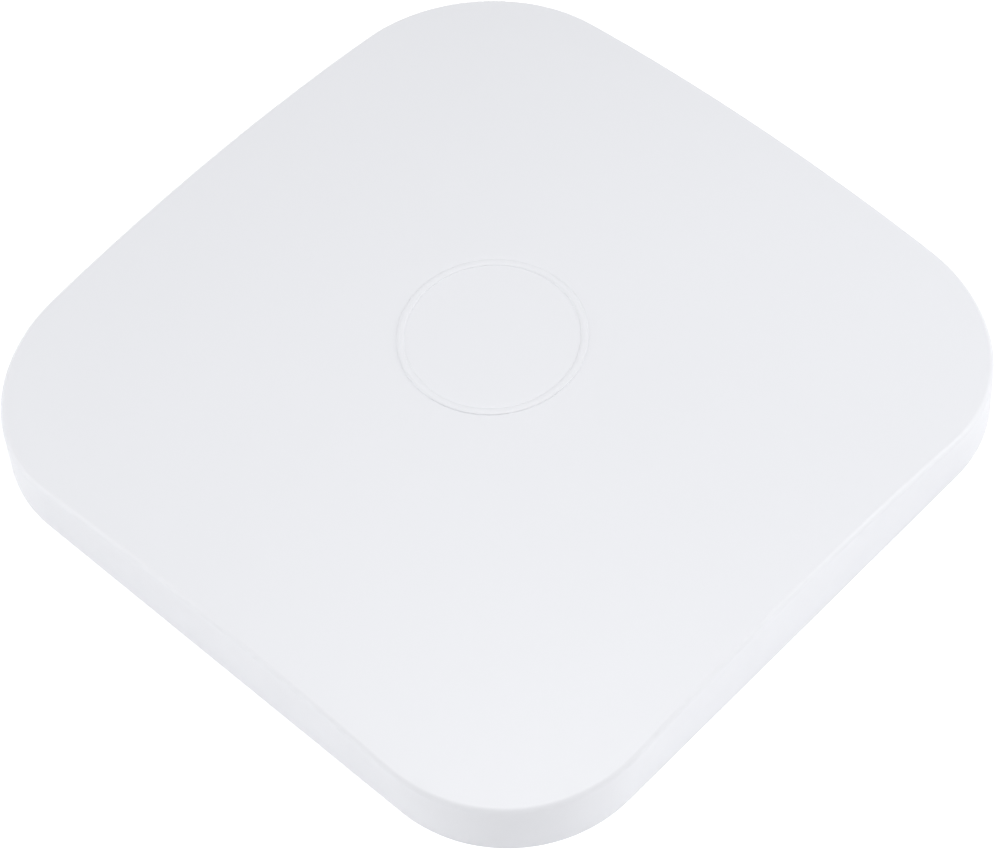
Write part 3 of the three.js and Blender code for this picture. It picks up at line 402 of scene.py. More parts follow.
def cover_shell(name):
    """The dome joined to the foot's outline, with the rim rounded and the wall's thickness given."""
    foot = rounded_outline(HALF - SIDE_TAPER, FOOT_CORNER_RADIUS, 0, "foot_outline")
    edit(foot)
    pick(foot, "faces", lambda face: True)
    bpy.ops.mesh.delete(type="ONLY_FACE")
    leave()
    shell = gather([dome(name), foot])
    edit(shell)
    pick(shell, "edges", lambda edge: len(edge.link_faces) < 2)
    bpy.ops.mesh.bridge_edge_loops()
    bpy.ops.mesh.select_all(action="SELECT")
    bpy.ops.mesh.normals_make_consistent(inside=False)
    leave()
    # The wall comes before the rim's fillet, which is tighter than the wall and would fold it.
    modify(shell, "SOLIDIFY", thickness=WALL, offset=-1, use_even_offset=True)
    edit(shell)
    pick(shell, "verts", lambda vert: abs(vert.co.z) < FOOT_BAND)
    bpy.ops.transform.resize(value=(1, 1, 0), center_override=(0, 0, 0))
    pick(shell, "edges", is_rim)
    bpy.ops.mesh.bevel(affect="EDGES", offset=RIM_FILLET, segments=FILLET_CUTS, profile=0.5)
    leave()
    return shell


def emblem_ring():
    """A plain raised ring in the middle of the dome."""
    bpy.ops.object.select_all(action="DESELECT")
    place = (0, 0, dome_height(EMBLEM_RADIUS, 0))
    bpy.ops.mesh.primitive_torus_add(
        location=place, major_segments=144, minor_segments=20,
        major_radius=EMBLEM_RADIUS, minor_radius=EMBLEM_WIDTH / 2,
    )
    ring = take("ring_tool")
    edit(ring)
    bpy.ops.mesh.select_all(action="SELECT")
    flat = 2 * EMBLEM_HEIGHT / EMBLEM_WIDTH
    bpy.ops.transform.resize(value=(1, 1, flat), center_override=place)
    leave()
    return ring


def cover_inside():
    """The screw bosses, the light pipe's sleeve and the stiffening ribs, which end inside the wall."""
    pieces = []
    for x, y in corners(CASE_SCREW_PLACE):
        pieces.append(post(BOSS_RADIUS, (BOSS_BOTTOM, dome_height(x, y, WALL / 2)), x, y))
    top = dome_height(*PIPE_PLACE, WALL / 2)
    pieces.append(post(PIPE_HOLE_RADIUS + WALL / 2, (top - WALL / 2 - SLEEVE_LENGTH, top), *PIPE_PLACE))
    inner = HALF - SIDE_TAPER - WALL
    for along in RIB_PLACES:
        width = (along - RIB_THICKNESS / 2, along + RIB_THICKNESS / 2)
        height = (TRAY_TOP + RIB_LIP_GAP, dome_height(inner, along, WALL / 2))
        for reach in ((inner - RIB_REACH, inner + WALL / 2), (-inner - WALL / 2, -inner + RIB_REACH)):
            pieces.append(block(reach, width, height))
            pieces.append(block(width, reach, height))
    return gather(pieces)


def notch(gap=0.0):
    """The cable's way out through the cover's side, or what fills it but for a gap."""
    side = CHANNEL_WIDTH / 2 - gap
    return block((-side, side), (HALF - NOTCH_DEPTH, HALF + WALL), (BELOW, CHANNEL_DEPTH - gap))


def cover_cuts():
    """The case screws' pilot holes, the light pipe's hole and the cable's notch."""
    pilots = [
        post(PILOT_RADIUS, (0, PILOT_TOP), x, y, steps=24) for x, y in corners(CASE_SCREW_PLACE)
    ]
    pipe_hole = post(PIPE_HOLE_RADIUS, (0, dome_height(*PIPE_PLACE, LIGHT_SKIN)), *PIPE_PLACE)
    return gather([*pilots, pipe_hole, notch()])


def make_cover(shell, material):
    """The cover with its emblem, bosses, ribs and holes."""
    cover = duplicate(shell, "domed_cover")
    combine(cover, emblem_ring(), "UNION")
    combine(cover, cover_inside(), "UNION")
    combine(cover, cover_cuts(), "DIFFERENCE")
    settle(cover)
    return dress(cover, "case", "case_plastic", material, "top_cover")


def make_knockout(shell, material):
    """The break-out piece that fills the cover's notch, with a flange that lies inside the channel."""
    piece = duplicate(shell, "cable_knockout_cap")
    combine(piece, notch(PORT_GAP), "INTERSECT")
    side = CHANNEL_WIDTH / 2 - PORT_GAP
    top = CHANNEL_DEPTH - PORT_GAP
    front = HALF - SIDE_TAPER - WALL + WALL / 4
    flange = block((-side, side), (front - FLANGE_DEPTH, front), (0, top))
    hollow = (front - FLANGE_DEPTH - WALL, front - WALL / 4)
    inside = block((BAY_WALL - side, side - BAY_WALL), hollow, (BELOW, top - BAY_WALL))
    combine(flange, inside, "DIFFERENCE")
    combine(piece, flange, "UNION")
    soften(piece, 0.2 * MM)
    settle(piece)
    return dress(piece, "case", "case_plastic", material, "cable_knockout")


# ---- Base ----

VENT_MARGIN = 4.8 * MM
LABEL_LOW, LABEL_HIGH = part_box("rear_label")
JACK_NODES = ["ethernet_jack_in", "ethernet_jack_out"]
BUTTON_NODES = ["reset_button", "mode_button"]
LABEL_CORNER = 1.5 * MM
LABEL_RECESS = 0.3 * MM
BUTTON_RADIUS = 1.6 * MM
BUTTON_FLANGE = 0.8 * MM
SCREW_HEAD_RADIUS = 2.4 * MM
SCREW_HEAD_HEIGHT = 1.6 * MM
SCREW_HOLE_RADIUS = 1.4 * MM
BOARD_SCREW_INSET = (9.5 * MM, 14 * MM)
BOARD_POST_RADIUS = 3 * MM
POST_SINK = 0.5 * MM
TAB_PLACES = [45, 135, 225, 315]
STOP_GAP_ANGLE = 0.5
STOP_ENDS = [place - TAB_ANGLE / 2 - STOP_GAP_ANGLE for place in TAB_PLACES]
STOP_ANGLE = 3
HOOK_ANGLE = 15.5
HOOK_GAP = 0.8 * MM
HOOK_REACH = (PLATE_RADIUS + HOOK_GAP, POCKET_RADIUS + BASE_WALL / 2)


def base_solids():
    """The tray with its lip, and what stands on it: the pocket's cup, the bay and the channel."""
    half, room = TRAY_HALF, TRAY_HALF - LIP_WALL
    height = (FLOOR_BOTTOM, TRAY_TOP)
    tray = rounded_slab((half, half), TRAY_CORNER, height, segments=24, name="base_tray")
    inside = rounded_slab((room, room), TRAY_CORNER - LIP_WALL, (FLOOR_TOP, HEIGHT), segments=24)
    combine(tray, inside, "DIFFERENCE")
    cup_height = (FLOOR_BOTTOM, POCKET_DEPTH + BASE_WALL)
    combine(tray, post(POCKET_RADIUS + BASE_WALL, cup_height, steps=160), "UNION")
    side = BAY_WIDTH / 2 + BAY_WALL
    length, height = (BAY_BACK - BAY_WALL, BAY_FRONT + BAY_WALL), (FLOOR_BOTTOM, BAY_TOP + BAY_WALL)
    combine(tray, block((-side, side), length, height), "UNION")
    side = CHANNEL_WIDTH / 2 + BAY_WALL
    length, height = (BAY_FRONT, TRAY_HALF - 2 * SEAT_GAP), (FLOOR_BOTTOM, CHANNEL_DEPTH + BAY_WALL)
    combine(tray, block((-side, side), length, height), "UNION")
    return tray


def base_posts():
    """Feet for the cover's bosses and posts for the board, sunk a little into the floor."""
    board_low, board_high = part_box("main_board")
    x, y = board_high.x - BOARD_SCREW_INSET[0], board_high.y - BOARD_SCREW_INSET[1]
    bottom = FLOOR_TOP - POST_SINK
    feet = [
        post(BOSS_RADIUS, (bottom, FLOOR_TOP + BASE_WALL), *place)
        for place in corners(CASE_SCREW_PLACE)
    ]
    posts = [
        post(BOARD_POST_RADIUS, (bottom, board_low.z - SEAT_GAP), *place) for place in corners(x, y)
    ]
    return gather(feet + posts)


def vent_slots():
    """Two fields of slots through the tray's floor, one on either side of the pocket."""
    inner, outer = POCKET_RADIUS + BASE_WALL, TRAY_HALF - LIP_WALL
    length = outer - inner - 2 * VENT_MARGIN
    slots = []
    for side in (-1, 1):
        for i in range(VENT_COUNT):
            slots.append(rounded_slab(
                (length / 2, VENT_WIDTH / 2), VENT_WIDTH / 2 - 0.01 * MM, (0, FLOOR_TOP + 1 * MM),
                x=side * (inner + outer) / 2, y=(i - (VENT_COUNT - 1) / 2) * VENT_PITCH, segments=6,
            ))
    return gather(slots)


def port_windows():
    """Openings in the bay's back wall around the sockets and the buttons."""
    through = (BAY_BACK - BAY_WALL - 1 * MM, BAY_BACK + 1 * MM)
    windows = []
    for node in [*JACK_NODES, "dc_power_jack"]:
        low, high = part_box(node)
        width = (low.x - PORT_GAP, high.x + PORT_GAP)
        windows.append(block(width, through, (low.z - PORT_GAP, high.z + PORT_GAP)))
    for node in BUTTON_NODES:
        low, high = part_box(node)
        x, z = middle_of(low, high).x, middle_of(low, high).z
        windows.append(rod(BUTTON_RADIUS + PORT_GAP, through, x, z))
    return gather(windows)


def twist_hooks():
    """Ledges under the plate's tabs when it is locked."""
    height = (FLOOR_BOTTOM, FLOOR_BOTTOM + HOOK_THICKNESS)
    return gather([
        ring_sector(*HOOK_REACH, end - STOP_ANGLE, end + HOOK_ANGLE, height, steps=16)
        for end in STOP_ENDS
    ])


def twist_stops():
    """What the tabs meet at the locked end of the turn, from the ledges up into the cup's roof."""
    height = (FLOOR_BOTTOM + 2 * SEAT_GAP, POCKET_DEPTH + BASE_WALL / 2)
    return gather([
        ring_sector(*HOOK_REACH, end - STOP_ANGLE, end, height, steps=4) for end in STOP_ENDS
    ])


def base_rooms():
    """The spaces that are open below: the plate's pocket, the cable bay and the channel."""
    side = BAY_WIDTH / 2
    bay = block((-side, side), (BAY_BACK, BAY_FRONT), (BELOW, BAY_TOP))
    side = CHANNEL_WIDTH / 2
    channel = block((-side, side), (BAY_FRONT - 1 * MM, HALF), (BELOW, CHANNEL_DEPTH))
    return [post(POCKET_RADIUS, (BELOW, POCKET_DEPTH), steps=160), bay, channel]


def label_slab(gap, height, name="label_tool"):
    """The label's outline, grown by a gap, between two heights."""
    low, high = LABEL_LOW, LABEL_HIGH
    return rounded_slab(
        (high.x + gap, (high.y - low.y) / 2 + gap), LABEL_CORNER + gap, height,
        y=(low.y + high.y) / 2, segments=8, name=name,
    )


def screw_seats():
    """The case screws' holes, and the wider seats that their heads sink into."""
    places = corners(CASE_SCREW_PLACE)
    holes = [post(SCREW_HOLE_RADIUS, (0, FLOOR_TOP + 4 * MM), *place) for place in places]
    height = (0, FLOOR_BOTTOM + SCREW_HEAD_HEIGHT)
    seats = [post(SCREW_HEAD_RADIUS + PORT_GAP, height, *place, steps=48) for place in places]
    return holes, seats


def make_base(material):
    """The rear tray, with all that is cut into it and stands on it."""
    base = base_solids()
    combine(base, base_posts(), "UNION")
    for room in base_rooms():
        combine(base, room, "DIFFERENCE")
    holes, seats = screw_seats()
    recess = label_slab(PORT_GAP, (0, FLOOR_BOTTOM + LABEL_RECESS))
    for tool in (gather([recess, *holes]), gather(seats), vent_slots(), port_windows()):
        combine(base, tool, "DIFFERENCE")
    combine(base, twist_hooks(), "UNION")
    combine(base, twist_stops(), "UNION")
    soften(base, 0.25 * MM)
    settle(base)
    return dress(base, "case", "case_plastic", material, "base_shell")


def make_label(material):
    """The blank film in its recess."""
    label = label_slab(0, (LABEL_LOW.z, LABEL_HIGH.z), name="rear_film")
    soften(label, 0.06 * MM)
    settle(label)
    return dress(label, "case", "label_film", material, "rear_label")


# ---- Ceiling plate ----

SCREW_SLOT_RADIUS = PLATE_RADIUS - 10 * MM
SCREW_SLOT_WIDTH = 4.6 * MM
SCREW_SLOT_ANGLE = 18
SCREW_SLOT_PLACES = [188, 222.5, 255, 285, 317.5, 352]
PLATE_RIB_PLACES = [205, 240, 270, 300, 335]
PLATE_RIB_START = 11.2 * MM
PLATE_RIB_THICKNESS = 1.6 * MM
MOUTH_SIDE_GAP = 1 * MM
MOUTH_END_GAP = 2 * MM
MOUTH_CORNER = 6 * MM
ABOVE_PLATE = 8 * MM  # where a tool that cuts down through the plate starts
THROUGH_PLATE = (BELOW, ABOVE_PLATE)


def plate_mouth():
    """The opening over the cable bay, held clear of the plate's rim."""
    mouth = rounded_slab(
        (BAY_WIDTH / 2 + MOUTH_SIDE_GAP, (BAY_FRONT - BAY_BACK) / 2 + MOUTH_END_GAP),
        MOUTH_CORNER, THROUGH_PLATE, y=(BAY_BACK + BAY_FRONT) / 2, segments=16,
    )
    height = (2 * BELOW, ABOVE_PLATE + 1 * MM)
    limit = post(PLATE_RADIUS - 1.5 * PLATE_RIM_WIDTH, height, steps=160)
    combine(mouth, limit, "INTERSECT")
    return mouth


def screw_slots():
    """The curved slots as ring sectors, and the round ends that go with them."""
    inner, outer = SCREW_SLOT_RADIUS - SCREW_SLOT_WIDTH / 2, SCREW_SLOT_RADIUS + SCREW_SLOT_WIDTH / 2
    slots, ends = [], []
    for place in SCREW_SLOT_PLACES:
        start, end = place - SCREW_SLOT_ANGLE / 2, place + SCREW_SLOT_ANGLE / 2
        slots.append(ring_sector(inner, outer, start, end, THROUGH_PLATE, steps=16))
        for turn in (math.radians(start), math.radians(end)):
            x, y = SCREW_SLOT_RADIUS * math.cos(turn), SCREW_SLOT_RADIUS * math.sin(turn)
            ends.append(post(SCREW_SLOT_WIDTH / 2, THROUGH_PLATE, x, y, steps=40))
    return gather(slots), gather(ends)


def plate_ribs():
    """Ribs that run out to the rim between the slots."""
    length = (PLATE_RIB_START, PLATE_RADIUS - PLATE_RIM_WIDTH)
    width = (-PLATE_RIB_THICKNESS / 2, PLATE_RIB_THICKNESS / 2)
    height = (PLATE_THICKNESS / 2, PLATE_HIGH.z - 2 * SEAT_GAP)
    ribs = []
    for place in PLATE_RIB_PLACES:
        rib = block(length, width, height)
        apply_place(rib)
        rib.rotation_euler = (0, 0, math.radians(place))
        apply_place(rib)
        ribs.append(rib)
    return gather(ribs)


def make_plate(material):
    """The round ceiling plate: a dished disc with tabs, ribs, a mouth and screw slots."""
    plate = post(PLATE_RADIUS, (0, PLATE_HIGH.z), steps=160, name="ceiling_bracket")
    dish = post(PLATE_RADIUS - PLATE_RIM_WIDTH, (PLATE_THICKNESS, ABOVE_PLATE), steps=160)
    combine(plate, dish, "DIFFERENCE")
    inner, outer = PLATE_RADIUS - PLATE_RIM_WIDTH / 2, PLATE_RADIUS + TAB_REACH
    height, half = (TAB_BOTTOM, PLATE_HIGH.z), TAB_ANGLE / 2
    tabs = [ring_sector(inner, outer, place - half, place + half, height) for place in TAB_PLACES]
    combine(plate, gather(tabs), "UNION")
    combine(plate, plate_ribs(), "UNION")
    combine(plate, plate_mouth(), "DIFFERENCE")
    for tool in screw_slots():
        combine(plate, tool, "DIFFERENCE")
    soften(plate, 0.3 * MM)
    settle(plate)
    return dress(plate, "ceiling_plate", "bracket_plastic", material, "mounting_plate")


# ---- Sockets, buttons and screws ----

SOCKET_WIDTH, SOCKET_HEIGHT, SOCKET_DEPTH = 11.9 * MM, 8.2 * MM, 13 * MM
SOCKET_RAISE = 0.8 * MM  # how far a mouth or bore sits above its socket's middle
LATCH_WIDTH, LATCH_HEIGHT = 6.2 * MM, 2 * MM
CONTACT_COUNT = 8
CONTACT_PITCH = 1.02 * MM
CONTACT_WIDTH, CONTACT_THICKNESS = 0.4 * MM, 0.3 * MM
CONTACT_START = 3 * MM
POWER_BORE_RADIUS, POWER_BORE_DEPTH = 3.2 * MM, 10 * MM
POWER_PIN_RADIUS = 1 * MM
RECESS_ARM = 1.4 * MM
RECESS_WIDTH = 0.7 * MM
RECESS_DEPTH = 0.96 * MM
SHANK_RADIUS = 1.1 * MM


def socket_shell(low, high):
    """A network socket's body with its mouth and latch notch cut in, and its edges eased."""
    middle = middle_of(low, high).x
    bottom = middle_of(low, high).z - SOCKET_HEIGHT / 2 + SOCKET_RAISE
    body = block((low.x, high.x), (low.y, high.y), (low.z, high.z), name="network_socket")
    deep = (high.y - SOCKET_DEPTH, high.y + 1 * MM)
    width = (middle - SOCKET_WIDTH / 2, middle + SOCKET_WIDTH / 2)
    combine(body, block(width, deep, (bottom, bottom + SOCKET_HEIGHT)), "DIFFERENCE")
    width = (middle - LATCH_WIDTH / 2, middle + LATCH_WIDTH / 2)
    combine(body, block(width, deep, (bottom - LATCH_HEIGHT, bottom + 0.1 * MM)), "DIFFERENCE")
    soften(body, 0.3 * MM)
    return body, middle, bottom + SOCKET_HEIGHT


def socket_contacts(middle, front, top):
    """Eight spring contacts that hang a little below the socket's roof."""
    length = (front - SOCKET_DEPTH + 0.2 * MM, front - CONTACT_START)
    bottom = top - 1.1 * MM
    contacts = []
    for i in range(CONTACT_COUNT):
        x = middle + (i - (CONTACT_COUNT - 1) / 2) * CONTACT_PITCH
        width = (x - CONTACT_WIDTH / 2, x + CONTACT_WIDTH / 2)
        contacts.append(block(width, length, (bottom, bottom + CONTACT_THICKNESS)))
    strip = gather(contacts)
    modify(strip, "BEVEL", width=0.1 * MM, segments=2)
    return strip


def make_network_socket(node, material):
    """A network socket with its contacts."""
    low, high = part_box(node)
    body, middle, top = socket_shell(low, high)
    apply_place(body)
    contacts = socket_contacts(middle, high.y, top)
    apply_place(contacts)
    socket = gather([body, contacts])
    socket.name = socket.data.name = node.replace("ethernet_jack", "network_socket")
    settle(socket)
    return dress(socket, "case", "tinned_steel", material, node)


def make_power_socket(material):
    """A barrel power socket with its centre pin."""
    low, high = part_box("dc_power_jack")
    x, z = middle_of(low, high).x, middle_of(low, high).z + SOCKET_RAISE
    bottom = high.y - POWER_BORE_DEPTH
    body = block((low.x, high.x), (low.y, high.y), (low.z, high.z), name="power_socket")
    combine(body, rod(POWER_BORE_RADIUS, (bottom, high.y + 1 * MM), x, z, steps=64), "DIFFERENCE")
    soften(body, 0.35 * MM)
    pin = rod(POWER_PIN_RADIUS, (bottom - 1 * MM, high.y - 1 * MM), x, z, steps=32)
    ease(pin, 0.4 * MM, 4)
    combine(body, pin, "UNION")
    settle(body)
    return dress(body, "case", "black_plastic", material, "dc_power_jack")


def make_button(node, material):
    """A round push button with a domed end and a flange behind the wall."""
    low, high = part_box(node)
    x, z = middle_of(low, high).x, middle_of(low, high).z
    button = rod(BUTTON_RADIUS, (low.y, high.y), x, z, name=node + "_cap")
    ease(button, 0.45 * MM, 5)
    front = BAY_BACK - BAY_WALL - PORT_GAP
    flange = rod((high.x - low.x) / 2, (front - BUTTON_FLANGE, front), x, z)
    combine(button, flange, "UNION")
    settle(button)
    return dress(button, node, "black_plastic", material, node)


def screw_model(low, high, name):
    """A pan-head screw, head down, with a cross recess and a plain shank."""
    x, y = middle_of(low, high).x, middle_of(low, high).y
    head_top = low.z + SCREW_HEAD_HEIGHT
    screw = post(SCREW_HEAD_RADIUS, (low.z, head_top), x, y, steps=64, name=name)
    ease(screw, 0.55 * MM, 5)
    apply_place(screw)
    deep = (low.z - 1 * MM, low.z + RECESS_DEPTH)
    along, across = (RECESS_ARM, RECESS_WIDTH / 2), (RECESS_WIDTH / 2, RECESS_ARM)
    for half_x, half_y in (along, across):
        arm = block((x - half_x, x + half_x), (y - half_y, y + half_y), deep)
        combine(screw, arm, "DIFFERENCE")
    shank = post(SHANK_RADIUS, (head_top - 0.3 * MM, high.z), x, y)
    ease(shank, 0.4 * MM, 2)
    combine(screw, shank, "UNION")
    return screw


def make_case_screws(material):
    """Four alike screws, each a copy at its own place."""
    first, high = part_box("case_screw_1")
    model = screw_model(first, high, "case_fixing_1")
    settle(model)
    screws = [model] + [duplicate(model, f"case_fixing_{i}") for i in (2, 3, 4)]
    for i, screw in enumerate(screws, start=1):
        low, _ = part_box(f"case_screw_{i}")
        screw.location = low - first
        settle(screw)
        dress(screw, "case", "steel", material, f"case_screw_{i}")


# ---- Shared surface effects ----

VECTOR, FLOAT = "NodeSocketVector", "NodeSocketFloat"


def new_group(name, inputs, outputs):
    """An empty node group with named sockets, its input node and its output node."""
    group = bpy.data.node_groups.new(name, "ShaderNodeTree")
    for label, kind, value in inputs:
        socket = group.interface.new_socket(name=label, in_out="INPUT", socket_type=kind)
        if value is not None:
            socket.default_value = value
    for label, kind in outputs:
        group.interface.new_socket(name=label, in_out="OUTPUT", socket_type=kind)
    return group, group.nodes.new("NodeGroupInput"), group.nodes.new("NodeGroupOutput")


def noise(nodes, links, vector, scale, detail, roughness=0.5):
    """A noise texture whose scale is a number or a socket."""
    node = nodes.new("ShaderNodeTexNoise")
    node.inputs["Detail"].default_value = detail
    node.inputs["Roughness"].default_value = roughness
    links.new(vector, node.inputs["Vector"])
    if isinstance(scale, (int, float)):
        node.inputs["Scale"].default_value = scale
    else:
        links.new(scale, node.inputs["Scale"])
    return node.outputs["Fac"]


def scaled(nodes, links, value, low, high, to_low=0.0, to_high=1.0):
    """Stretches the range low to high of a value to a new range, held at its ends."""
    node = nodes.new("ShaderNodeMapRange")
    node.inputs["From Min"].default_value = low
    node.inputs["From Max"].default_value = high
    node.inputs["To Min"].default_value = to_low
    node.inputs["To Max"].default_value = to_high
    links.new(value, node.inputs["Value"])
    return node.outputs["Result"]


def worked(nodes, links, operation, first, second):
    """A Math node on two sockets or numbers."""
    node = nodes.new("ShaderNodeMath")
    node.operation = operation
    for value, socket in ((first, node.inputs[0]), (second, node.inputs[1])):
        if isinstance(value, (int, float)):
            socket.default_value = value
        else:
            links.new(value, socket)
    return node.outputs["Value"]


def make_grain_group():
    """A moulded or sprayed skin: fine relief, slow drift of tone and small patches of gloss."""
    group, source, result = new_group(
        "moulded grain",
        [("Vector", VECTOR, None), ("Grain Scale", FLOAT, 2600), ("Drift Scale", FLOAT, 14)],
        [("Height", FLOAT), ("Tone", FLOAT), ("Gloss", FLOAT)],
    )
    nodes, links = group.nodes, group.links
    fine = noise(nodes, links, source.outputs["Vector"], source.outputs["Grain Scale"], 3, 0.6)
    drift = noise(nodes, links, source.outputs["Vector"], source.outputs["Drift Scale"], 2)
    patches = noise(nodes, links, source.outputs["Vector"], 160, 4, 0.62)
    links.new(fine, result.inputs["Height"])
    links.new(scaled(nodes, links, drift, 0.3, 0.7), result.inputs["Tone"])
    links.new(scaled(nodes, links, patches, 0.3, 0.7), result.inputs["Gloss"])
    return group


def make_wear_group():
    """Rubbed edges, broken up by noise, from how sharply the surface turns."""
    group, source, result = new_group(
        "rubbed edges",
        [("Vector", VECTOR, None), ("Amount", FLOAT, 0.5)],
        [("Mask", FLOAT)],
    )
    nodes, links = group.nodes, group.links
    geometry = nodes.new("ShaderNodeNewGeometry")
    edge = scaled(nodes, links, geometry.outputs["Pointiness"], 0.52, 0.60)
    breaks = scaled(nodes, links, noise(nodes, links, source.outputs["Vector"], 420, 5, 0.65), 0.42, 0.62)
    mask = worked(nodes, links, "MULTIPLY", edge, breaks)
    links.new(worked(nodes, links, "MULTIPLY", mask, source.outputs["Amount"]), result.inputs["Mask"])
    return group


def make_dust_group():
    """A faint film of dust in small clumps on what faces up."""
    group, source, result = new_group(
        "settled dust",
        [("Vector", VECTOR, None), ("Amount", FLOAT, 0.1)],
        [("Mask", FLOAT)],
    )
    nodes, links = group.nodes, group.links
    geometry = nodes.new("ShaderNodeNewGeometry")
    parts = nodes.new("ShaderNodeSeparateXYZ")
    links.new(geometry.outputs["Normal"], parts.inputs["Vector"])
    facing_up = scaled(nodes, links, parts.outputs["Z"], 0.55, 0.95)
    clumps = scaled(nodes, links, noise(nodes, links, source.outputs["Vector"], 900, 6, 0.7), 0.56, 0.74)
    mask = worked(nodes, links, "MULTIPLY", facing_up, clumps)
    links.new(worked(nodes, links, "MULTIPLY", mask, source.outputs["Amount"]), result.inputs["Mask"])
    return group


# ---- Materials ----

class Finish:
    """One material: its shader, its coordinates and the chains that lead into them."""

    def __init__(self, name, roughness, **constants):
        self.material = bpy.data.materials.new(name)
        self.material.use_nodes = True
        self.nodes, self.links = self.material.node_tree.nodes, self.material.node_tree.links
        self.shader = self.nodes["Principled BSDF"]
        self.shader.inputs["Roughness"].default_value = roughness
        for label, value in constants.items():
            self.shader.inputs[label.replace("_", " ")].default_value = value
        coordinates = self.nodes.new("ShaderNodeTexCoord")
        self.place = coordinates.outputs["Object"]

    def stretch(self, scale):
        """Makes every pattern that follows longer or shorter along an axis."""
        mapping = self.nodes.new("ShaderNodeMapping")
        mapping.inputs["Scale"].default_value = scale
        self.links.new(self.place, mapping.inputs["Vector"])
        self.place = mapping.outputs["Vector"]

    def effect(self, group, **values):
        """Places a shared effect with its values and gives its outputs."""
        node = self.nodes.new("ShaderNodeGroup")
        node.node_tree = group
        for label, value in values.items():
            node.inputs[label.replace("_", " ")].default_value = value
        self.links.new(self.place, node.inputs["Vector"])
        return node.outputs

    def blend(self, factor, first, second):
        """A mix of two colours, each a colour or a socket."""
        node = self.nodes.new("ShaderNodeMix")
        node.data_type = "RGBA"
        self.links.new(factor, node.inputs["Factor"])
        for value, socket in ((first, node.inputs[6]), (second, node.inputs[7])):
            if isinstance(value, tuple):
                socket.default_value = (*value, 1)
            else:
                self.links.new(value, socket)
        return node.outputs[2]

    def colour(self, value):
        """Leads a colour into the shader."""
        self.links.new(value, self.shader.inputs["Base Color"])

    def roughness(self, value, low, high):
        """Lets the roughness run between two values where a pattern runs from 0 to 1."""
        result = scaled(self.nodes, self.links, value, 0, 1, low, high)
        self.links.new(result, self.shader.inputs["Roughness"])

    def relief(self, height, distance, strength):
        """Turns a pattern into fine bumps of a depth in metres."""
        bump = self.nodes.new("ShaderNodeBump")
        bump.inputs["Distance"].default_value = distance
        bump.inputs["Strength"].default_value = strength
        self.links.new(height, bump.inputs["Height"])
        self.links.new(bump.outputs["Normal"], self.shader.inputs["Normal"])


def moulded_white(name, tone, roughness, dust):
    """Satin white plastic with a fine spark-eroded grain."""
    finish = Finish(name, roughness)
    grain = finish.effect(GRAIN, Grain_Scale=3200.0, Drift_Scale=9.0)
    shaded = finish.blend(grain["Tone"], tuple(0.988 * c for c in tone), tone)
    settled = finish.effect(DUST, Amount=dust)
    finish.colour(finish.blend(settled["Mask"], shaded, (0.62, 0.60, 0.57)))
    finish.roughness(grain["Gloss"], roughness - 0.04, roughness + 0.05)
    finish.relief(grain["Height"], 0.012 * MM, 0.5)
    return finish.material


def label_film():
    """A pale, slightly glossy blank film."""
    finish = Finish("rear label film", 0.32)
    grain = finish.effect(GRAIN, Grain_Scale=1800.0, Drift_Scale=25.0)
    finish.colour(finish.blend(grain["Tone"], (0.815, 0.82, 0.825), (0.83, 0.835, 0.84)))
    finish.roughness(grain["Gloss"], 0.29, 0.35)
    finish.relief(grain["Height"], 0.004 * MM, 0.4)
    return finish.material


def board_laminate():
    """Green solder mask over a copper pour, with the glass weave just showing."""
    finish = Finish("green circuit laminate", 0.38, Specular_IOR_Level=0.5)
    weave = finish.nodes.new("ShaderNodeTexBrick")
    weave.inputs["Scale"].default_value = 260
    weave.inputs["Mortar Size"].default_value = 0.04
    finish.links.new(finish.place, weave.inputs["Vector"])
    areas = finish.nodes.new("ShaderNodeTexVoronoi")
    areas.distance = "CHEBYCHEV"
    areas.inputs["Scale"].default_value = 75
    areas.inputs["Randomness"].default_value = 0.8
    finish.links.new(finish.place, areas.inputs["Vector"])
    tracks = finish.nodes.new("ShaderNodeTexWave")
    tracks.wave_profile = "SIN"
    tracks.inputs["Scale"].default_value = 190
    finish.links.new(finish.place, tracks.inputs["Vector"])
    grain = finish.effect(GRAIN, Grain_Scale=1500.0, Drift_Scale=30.0)
    routed = scaled(finish.nodes, finish.links, areas.outputs["Distance"], 0.26, 0.27)
    lines = scaled(finish.nodes, finish.links, tracks.outputs["Fac"], 0.45, 0.55)
    copper = worked(finish.nodes, finish.links, "MAXIMUM", routed, lines)
    ground = finish.blend(grain["Tone"], (0.010, 0.095, 0.040), (0.014, 0.125, 0.055))
    finish.colour(finish.blend(copper, ground, (0.020, 0.165, 0.070)))
    finish.roughness(grain["Gloss"], 0.30, 0.45)
    height = worked(finish.nodes, finish.links, "ADD", weave.outputs["Fac"], copper)
    finish.relief(height, 0.03 * MM, 0.5)
    return finish.material


def plated_metal(name, tone, dull, roughness, stretch, relief):
    """Sheet or bar metal with rolling or drawing marks, dull spots and rubbed edges."""
    finish = Finish(name, roughness, Metallic=1.0)
    finish.stretch(stretch)
    grain = finish.effect(GRAIN, Grain_Scale=700.0, Drift_Scale=60.0)
    wear = finish.effect(WEAR, Amount=0.6)
    shaded = finish.blend(grain["Tone"], dull, tone)
    finish.colour(finish.blend(wear["Mask"], shaded, tuple(min(1.0, 1.15 * c) for c in tone)))
    finish.roughness(grain["Gloss"], roughness - 0.08, roughness + 0.14)
    finish.relief(grain["Height"], relief, 0.5)
    return finish.material


